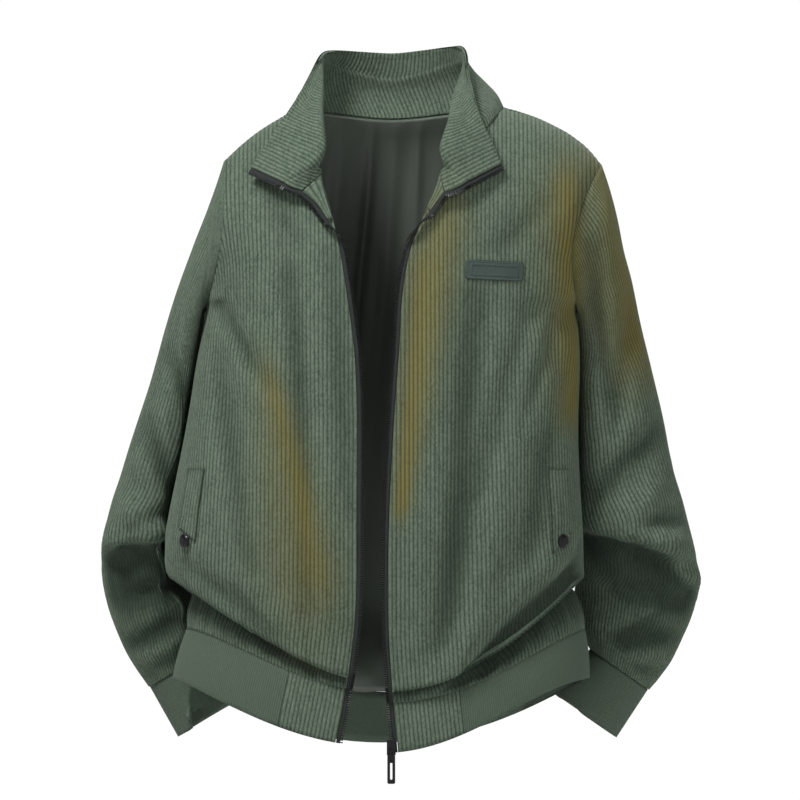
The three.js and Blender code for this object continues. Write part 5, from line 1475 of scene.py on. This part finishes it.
piece, count = shell("lining_back_cloth", shown, behind, finishes["lining"], {"valley": fold_in})
keep_piece(piece, count, ["lining_back"])
declare_sheet(piece, laid["dense"])

# %% [markdown]
# ## Pocket welts
#
# Each pocket is closed by an upright corduroy welt, sewn down on its long side and held by a snap near
# its bottom. The welt lies on the front's own surface, moved out, so it follows the front's folds.

# %% Pocket welts
WELT = {"inner": 12, "outer": 14, "top": -375.0, "bottom": -467.0, "wall": 1.8, "lift": 0.4}
WELT_LEVELS = 8
WELT_COLUMNS = 5
WELT_ROW_STEP = 3.0
WELT_RIM = 1.6
welt_edges = {}


def at_heights(grid, places, heights):
    """The points of a panel's grid on the given column places and heights."""
    columns = along_columns(grid[BLOUSE_ROWS:], np.tile(places, (len(grid) - BLOUSE_ROWS, 1)))
    points = np.empty((len(heights), len(places), 3))
    for j in range(len(places)):
        for axis in range(3):
            points[:, j, axis] = np.interp(heights, columns[:, j, 2], columns[:, j, axis])
    return points


for side, side_name in SIDES.items():
    panel = panel_grids[f"front_{side_name}"]
    places = np.linspace(WELT["inner"], WELT["outer"], WELT_COLUMNS)
    if side > 0:
        places = FRONT_COLUMNS - places[::-1]
    flat = at_heights(panel, places, np.linspace(WELT["bottom"], WELT["top"], WELT_LEVELS))
    flat_normals = away_from_axis(flat, grid_normals(flat))
    pressed = crease_depth(flat, flat_normals, "body")[..., None]
    face = flat + flat_normals * (WELT["lift"] + WELT["wall"] - pressed)
    laid = lay_cloth(face, even_across, away_from_axis, WALE_PITCH, WALE_STEPS, WELT_ROW_STEP)
    # Each welt gets a rim of painted shade along its edges.
    dress(f"pocket_welt_{side_name}", laid, WELT["wall"], None, "corduroy", rim=WELT_RIM)
    welt_edges[side] = laid

# %% [markdown]
# ## Badge
#
# A small soft patch is sewn on the wearer's left chest. It is bare: a raised plain frame in its middle
# and a low rim are all its relief.

# %% Badge
BADGE = {"x": 111.0, "z": -164.5, "width": 62.0, "height": 21.0, "tilt": 2.5, "wall": 1.8, "lift": 0.6}
BADGE_STEPS = (96, 36)
FRAME_HALF = (24.5, 5.4)
RIM_INSET = 1.4
FRAME_RELIEF = {"height": 0.8, "wide": 0.75}
RIM_RELIEF = {"height": 0.35, "wide": 0.8}
EDGE_FALL = {"height": 0.9, "wide": 0.8}
CORNER_CUT = {"across": 0.03, "up": 0.1}
chest = panels["front_left"]["dense"]


def on_chest(x, z):
    i, j = np.unravel_index(np.argmin((chest[..., 0] - x) ** 2 + (chest[..., 2] - z) ** 2), chest.shape[:2])
    i, j = min(i, len(chest) - 2), min(j, chest.shape[1] - 2)
    start, right, up = chest[i, j], chest[i, j + 1] - chest[i, j], chest[i + 1, j] - chest[i, j]
    a, b = np.linalg.solve([[right[0], up[0]], [right[2], up[2]]], [x - start[0], z - start[2]])
    return start[1] + a * right[1] + b * up[1]


def badge_point(u, v, lift):
    """u and v run from -1 to 1 over the patch, whose corners are rounded."""
    tilt = math.radians(BADGE["tilt"])
    across = BADGE["width"] / 2 * u * (1 - CORNER_CUT["across"] * (u * v) ** 4)
    up = BADGE["height"] / 2 * v * (1 - CORNER_CUT["up"] * (u * v) ** 4)
    x = BADGE["x"] + across * math.cos(tilt) + up * math.sin(tilt)
    z = BADGE["z"] - across * math.sin(tilt) + up * math.cos(tilt)
    return np.array([x, on_chest(x, z) - lift, z])


def badge_height(u, v):
    across, up = abs(u) * BADGE["width"] / 2, abs(v) * BADGE["height"] / 2
    edge = min(BADGE["width"] / 2 - across, BADGE["height"] / 2 - up)
    frame_off = max(across - FRAME_HALF[0], up - FRAME_HALF[1])
    framed = FRAME_RELIEF["height"] * math.exp(-((frame_off / FRAME_RELIEF["wide"]) ** 2))
    rimmed = RIM_RELIEF["height"] * math.exp(-(((edge - RIM_INSET) / RIM_RELIEF["wide"]) ** 2))
    fallen = EDGE_FALL["height"] * math.exp(-((edge / EDGE_FALL["wide"]) ** 2))
    return BADGE["wall"] + (framed + rimmed) - fallen


us, vs = np.linspace(-1, 1, BADGE_STEPS[0] + 1), np.linspace(-1, 1, BADGE_STEPS[1] + 1)
badge_top = np.array([[badge_point(u, v, BADGE["lift"] + badge_height(u, v)) for u in us] for v in vs])
badge_under = np.array([[badge_point(u, v, BADGE["lift"]) for u in us[::8]] for v in vs[::6]])
badge_values = {"valley": 0 * badge_top[..., 0]}
piece, count = shell("badge_patch", badge_top, badge_under, finishes["patch_rubber"], badge_values)
keep_piece(piece, count, ["badge", "badge_frame"])
print("badge", count, "triangles")

# %% [markdown]
# ## The zip's path
#
# The zip follows the hem tab, the front edge and the turned-out corner, and ends along the collar's end.

# %% The zip's path
BREAK_BELOW = 13.0
BREAK_FORWARD = 2.0
SLIDER_TOP_Z = -662.0


def zip_path(side):
    """Points along the zip and the direction in which the teeth lie from each."""
    side_name = SIDES[side]
    edge_column = 0 if side < 0 else -1
    inward_x = np.array([-side, 0.0, 0.0])
    hem = hem_parts[f"hem_tab_{side_name}"][:, edge_column]
    hem_out_there = hem_normals[:, edge_column]
    path = [(hem[i] - hem_out_there[i] * TAB_WALL / 2, inward_x) for i in range(len(hem))]
    facing = FACINGS[side_name]
    break_z = facing["outer_z"][-1] - BREAK_BELOW
    grid = panel_grids[f"front_{side_name}"]
    normals = away_from_axis(grid, grid_normals(grid))
    for i in range(BLOUSE_ROWS - 2, ROWS):
        if grid[i, edge_column, 2] <= break_z - BREAK_BELOW:
            path.append((grid[i, edge_column] - normals[i, edge_column] * CLOTH / 2, inward_x))
    break_x = front_edge(break_z, side)
    break_point = np.array([break_x, face_y(break_x, break_z, -1) - BREAK_FORWARD, break_z])
    path.append((break_point, np.array([0.0, -1, 0])))
    strip = facing_grids[side]
    for i in range(len(strip) - 1, -1, -1):
        path.append((strip[i, -1] + np.array([0, FACING_WALL / 2, 0]), unit(strip[i, -1] - strip[i, 0])))
    station, inboard_station = (0, 1) if side < 0 else (-1, -2)
    for j in range(1, collar_grid.shape[1]):
        point = collar_grid[station, j]
        path.append((point, unit(point - collar_grid[inboard_station, j])))
    return path


def above_slider(path):
    """The left path without the part that the slider covers."""
    low, high = path[0][0], path[1][0]
    start = mix(low, high, (SLIDER_TOP_Z + 1 - low[2]) / (high[2] - low[2]))
    return [(start, path[0][1])] + path[1:]


def even_path(path, step):
    """Places at even steps along the path, each with its across and face directions."""
    points = np.array([point for point, _ in path])
    outs = np.array([out for _, out in path])
    walked = np.concatenate([[0], np.cumsum(np.linalg.norm(np.diff(points, axis=0), axis=1))])
    at = np.linspace(0, walked[-1], max(2, round(walked[-1] / step)) + 1)
    points = np.stack([np.interp(at, walked, points[:, axis]) for axis in range(3)], axis=1)
    outs = np.stack([np.interp(at, walked, outs[:, axis]) for axis in range(3)], axis=1)
    along = np.gradient(points, axis=0)
    along /= np.linalg.norm(along, axis=1, keepdims=True)
    across = outs - along * np.sum(outs * along, axis=1, keepdims=True)
    across /= np.linalg.norm(across, axis=1, keepdims=True)
    return points, along, across, np.cross(along, across)

# %% [markdown]
# ## Tapes and teeth
#
# The open zip is a woven tape along each front edge, with a row of small moulded teeth on it.

# %% Tapes and teeth
TAPE = {"from": 0.5, "to": 4.9, "wall": 0.8}
TAPE_STEP = 2.5
TAPE_CORES = (1.6, 2.8, 4.0)
TAPE_THICKNESS = (0.7, 1.0, 1.0, 1.0, 1.5)
TOOTH_PITCH = 2.5
TOOTH = {"from": 4.3, "head": 6.9, "tip": 0.7, "root_half": 0.55, "head_half": 0.9, "wall": 2.3}
TOOTH_OUTLINE = [
    (TOOTH["from"], TOOTH["root_half"]), (TOOTH["head"], TOOTH["root_half"]),
    (TOOTH["head"] + TOOTH["tip"], TOOTH["head_half"]), (TOOTH["head"] + TOOTH["tip"], -TOOTH["head_half"]),
    (TOOTH["head"], -TOOTH["root_half"]), (TOOTH["from"], -TOOTH["root_half"]),
]
TOOTH_FACES = [(0, 1, 2, 3, 4, 5), (11, 10, 9, 8, 7, 6)]
TOOTH_FACES += [(i, i + 6, (i + 1) % 6 + 6, (i + 1) % 6) for i in range(6)]
TOOTH_CORNERS = 2 * len(TOOTH_OUTLINE)
TOOTH_TRIANGLES = 20
for side, side_name in SIDES.items():
    points, along, across, face = even_path(zip_path(side), TAPE_STEP)
    rise = np.array([TAPE["from"], *TAPE_CORES, TAPE["to"]])
    thick = np.array(TAPE_THICKNESS) * TAPE["wall"] / 2
    front = points[:, None] + across[:, None] * rise[:, None] + face[:, None] * thick[:, None]
    rear = points[:, None] + across[:, None] * rise[:, None] - face[:, None] * thick[:, None]
    tape_values = {"valley": 0 * front[..., 0]}
    piece, count = shell(f"zip_tape_{side_name}_cloth", front, rear, finishes["zip_tape"], tape_values)
    keep_piece(piece, count, [f"zip_tape_{side_name}"])
    toothed = above_slider(zip_path(side)) if side > 0 else zip_path(side)
    points, along, across, face = even_path(toothed, TOOTH_PITCH / 2)
    tooth_points, tooth_faces = [], []
    for i in range(1, len(points) - 1, 2):
        base = len(tooth_points)
        for lift in (-TOOTH["wall"] / 2, TOOTH["wall"] / 2):
            for d, half in TOOTH_OUTLINE:
                tooth_points.append(points[i] + across[i] * d + along[i] * half + face[i] * lift)
        tooth_faces += [tuple(base + c for c in corners) for corners in TOOTH_FACES]
    mesh = bpy.data.meshes.new(f"zip_teeth_{side_name}")
    mesh.from_pydata((np.array(tooth_points) * MM).tolist(), [], tooth_faces)
    mesh.materials.append(finishes["black_metal"])
    piece = bpy.data.objects.new(f"zip_teeth_{side_name}", mesh)
    bpy.context.scene.collection.objects.link(piece)
    teeth = len(tooth_points) // TOOTH_CORNERS
    keep_piece(piece, TOOTH_TRIANGLES * teeth, [f"zip_chain_{side_name}"])

# %% [markdown]
# ## Fittings that stay
#
# The slider, its pull, the box and the snap caps stay as they are in the CAD model, and only get their
# finish.

# %% Fittings that stay
for name in ("zip_slider", "zip_pull", "zip_retainer", "snap_right", "snap_left"):
    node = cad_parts[name]
    for slot in node.material_slots:
        slot.material = finishes["black_metal"]
    print(name, "gets its finish on", len(node.material_slots), "slot")

# %% [markdown]
# ## Stitches
#
# Edges are topstitched a few millimetres in. Each stitch is a short raised thread between two needle
# holes. The rows are cut from the panels' own lines, so they follow every fold.

# %% Rows of stitches
STITCH_PITCH = 3.4
STITCH_LENGTH = 2.5
STITCH_HALF = 0.38
STITCH_SINK = 0.4
STITCH_LIFT = 0.75
BADGE_STITCH_LIFT = 0.15
AHEAD = 0.5
EDGE_INSET = 4
ARMHOLE_INSET = 2
WELT_COLUMNS_SEWN = (3, -4)
WELT_ROWS_SEWN = (0.95, 0.05)
COLLAR_ROW_SEWN = 0.93
BORDER_U, BORDER_V = 0.95, 0.86
BORDER_STEPS = (40, 14)
STITCH_FACES = [(0, 1, 2), (0, 2, 3), (0, 3, 4), (0, 4, 1), (5, 2, 1), (5, 3, 2), (5, 4, 3), (5, 1, 4)]
stitch_points = []
stitch_faces = []


def sew(points, normals, lift=STITCH_LIFT):
    """A row of stitches along a line of points on the cloth."""
    points, normals = np.asarray(points), np.asarray(normals)
    walked = np.concatenate([[0], np.cumsum(np.linalg.norm(np.diff(points, axis=0), axis=1))])
    at = np.arange(STITCH_PITCH / 2, walked[-1] - STITCH_PITCH / 2, STITCH_PITCH)
    place = np.stack([np.interp(at, walked, points[:, axis]) for axis in range(3)], axis=1)
    ahead = np.stack([np.interp(at + AHEAD, walked, points[:, axis]) for axis in range(3)], axis=1)
    up = np.stack([np.interp(at, walked, normals[:, axis]) for axis in range(3)], axis=1)
    up /= np.linalg.norm(up, axis=1, keepdims=True)
    along = ahead - place
    along /= np.maximum(np.linalg.norm(along, axis=1, keepdims=True), 1e-9)
    beside = np.cross(up, along)
    for centre, forward, across, out in zip(place + up * lift, along, beside, up):
        base = len(stitch_points)
        half = forward * STITCH_LENGTH / 2
        stitch_points.extend([
            centre - half - out * STITCH_SINK, centre + across * STITCH_HALF, centre + out * STITCH_HALF,
            centre - across * STITCH_HALF, centre - out * STITCH_HALF, centre + half - out * STITCH_SINK,
        ])
        stitch_faces.extend([tuple(base + c for c in corners) for corners in STITCH_FACES])
    return len(at)


def cloth_line(laid, creases, row_share=None, column=None, first=0):
    """A line on a laid piece, on one row or one dense column, with the creases taken off."""
    dense, normals = laid["dense"], laid["dense_normals"]
    if row_share is not None:
        i = round(row_share * (len(dense) - 1))
        points, out = dense[i, first:], normals[i, first:]
    else:
        points, out = dense[first:, column], normals[first:, column]
    if creases:
        points = points - out * crease_depth(points, out, creases)[:, None]
    return points, out


sewn = 0
for name, edge, armhole in (
    ("front_right", EDGE_INSET, -1 - ARMHOLE_INSET), ("front_left", -1 - EDGE_INSET, ARMHOLE_INSET),
):
    laid = panels[name]
    body_start = int(np.searchsorted(laid["row_at"], BLOUSE_ROWS))
    yoke_start = int(np.searchsorted(laid["row_at"], BLOUSE_ROWS + BODY_ROWS))
    sewn += sew(*cloth_line(laid, "body", column=edge, first=body_start))
    sewn += sew(*cloth_line(laid, "body", column=armhole, first=yoke_start))
for laid in welt_edges.values():
    for column in WELT_COLUMNS_SEWN:
        sewn += sew(*cloth_line(laid, None, column=column))
    for row_share in WELT_ROWS_SEWN:
        sewn += sew(*cloth_line(laid, None, row_share=row_share))
for laid in collar_laid.values():
    sewn += sew(*cloth_line(laid, None, row_share=COLLAR_ROW_SEWN))
border = [(u, -BORDER_V) for u in np.linspace(-BORDER_U, BORDER_U, BORDER_STEPS[0])]
border += [(BORDER_U, v) for v in np.linspace(-BORDER_V, BORDER_V, BORDER_STEPS[1])]
border += [(u, BORDER_V) for u in np.linspace(BORDER_U, -BORDER_U, BORDER_STEPS[0])]
border += [(-BORDER_U, v) for v in np.linspace(BORDER_V, -BORDER_V, BORDER_STEPS[1])]
badge_border = np.array([badge_point(u, v, BADGE["lift"] + BADGE["wall"] + 0.1) for u, v in border])
sewn += sew(badge_border, np.tile([0.0, -1, 0], (len(badge_border), 1)), BADGE_STITCH_LIFT)
mesh = bpy.data.meshes.new("stitches")
mesh.from_pydata((np.array(stitch_points) * MM).tolist(), [], stitch_faces)
mesh.shade_smooth()
mesh.materials.append(finishes["thread"])
stitches = bpy.data.objects.new("stitches", mesh)
bpy.context.scene.collection.objects.link(stitches)
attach(stitches, GARMENT)
print(sewn, "stitches,", len(stitch_faces), "triangles")

# %% [markdown]
# ## Studio
#
# The jacket hangs over a pale round floor, under one large soft lamp from the upper left, weaker ones
# from the right and from behind, and a surround that is white along the horizon. There is no wall, so it
# can be seen from all round. The camera looks level at its front from far off through a long lens, since
# the photograph shows almost no perspective.

# %% Stage, lamps and camera
FLOOR_Z = -0.95
FLOOR_RADIUS = 4.0
FLOOR_SIDES = 96
PAPER = (0.62, 0.62, 0.62, 1)
HORIZON = {"From Min": 0.07, "From Max": 0.3, "To Min": 1.02, "To Max": 0.2}

angles = np.linspace(0, 2 * math.pi, FLOOR_SIDES, endpoint=False)
rim_points = [(FLOOR_RADIUS * math.cos(a), FLOOR_RADIUS * math.sin(a), FLOOR_Z) for a in angles]
mesh = bpy.data.meshes.new("floor")
mesh.from_pydata(rim_points, [], [tuple(range(FLOOR_SIDES))])
mesh.materials.append(plain_finish("paper", PAPER, 0.9))
floor = bpy.data.objects.new("floor", mesh)
bpy.context.scene.collection.objects.link(floor)


def lamp(name, place, target, size, watts):
    data = bpy.data.lights.new(name, "AREA")
    data.shape = "DISK"
    data.size = size
    data.energy = watts
    light = bpy.data.objects.new(name, data)
    light.location = place
    away = mathutils.Vector(target) - mathutils.Vector(place)
    light.rotation_euler = away.to_track_quat("-Z", "Y").to_euler()
    bpy.context.scene.collection.objects.link(light)


MIDDLE = (0.0, 0.0, -0.3)
lamp("key", (-1.3, -1.6, 2.4), MIDDLE, 1.0, 200)
lamp("fill", (1.9, -2.4, 1.2), MIDDLE, 1.2, 44)
lamp("behind", (0.9, 2.0, 2.2), MIDDLE, 1.4, 70)
world = bpy.data.worlds.new("surround")
world.use_nodes = True
surround = next(node for node in world.node_tree.nodes if node.type == "BACKGROUND")
surround.inputs["Color"].default_value = (1.0, 1.0, 1.0, 1)
sky_tree = world.node_tree
direction = sky_tree.nodes.new("ShaderNodeTexCoord")
parts = sky_tree.nodes.new("ShaderNodeSeparateXYZ")
height = sky_tree.nodes.new("ShaderNodeMath")
height.operation = "ABSOLUTE"
band = sky_tree.nodes.new("ShaderNodeMapRange")
for socket, value in HORIZON.items():
    band.inputs[socket].default_value = value
sky_tree.links.new(direction.outputs["Generated"], parts.inputs["Vector"])
sky_tree.links.new(parts.outputs["Z"], height.inputs[0])
sky_tree.links.new(height.outputs[0], band.inputs["Value"])
sky_tree.links.new(band.outputs["Result"], surround.inputs["Strength"])
bpy.context.scene.world = world
bpy.context.scene.view_settings.view_transform = "Standard"

CAMERA_DISTANCE = 10.0
PHOTO_MIDDLE = (0.0107, -0.3017)
PHOTO_WIDTH = 0.856
SENSOR = 36.0
camera_data = bpy.data.cameras.new("camera")
camera_data.sensor_width = SENSOR
camera_data.lens = SENSOR * CAMERA_DISTANCE / PHOTO_WIDTH
camera = bpy.data.objects.new("camera", camera_data)
camera.location = (PHOTO_MIDDLE[0], -CAMERA_DISTANCE, PHOTO_MIDDLE[1])
camera.rotation_euler = (math.pi / 2, 0, 0)
bpy.context.scene.collection.objects.link(camera)
bpy.context.scene.camera = camera
print("triangles in all", sum(triangle_counts.values()) + len(stitch_faces))
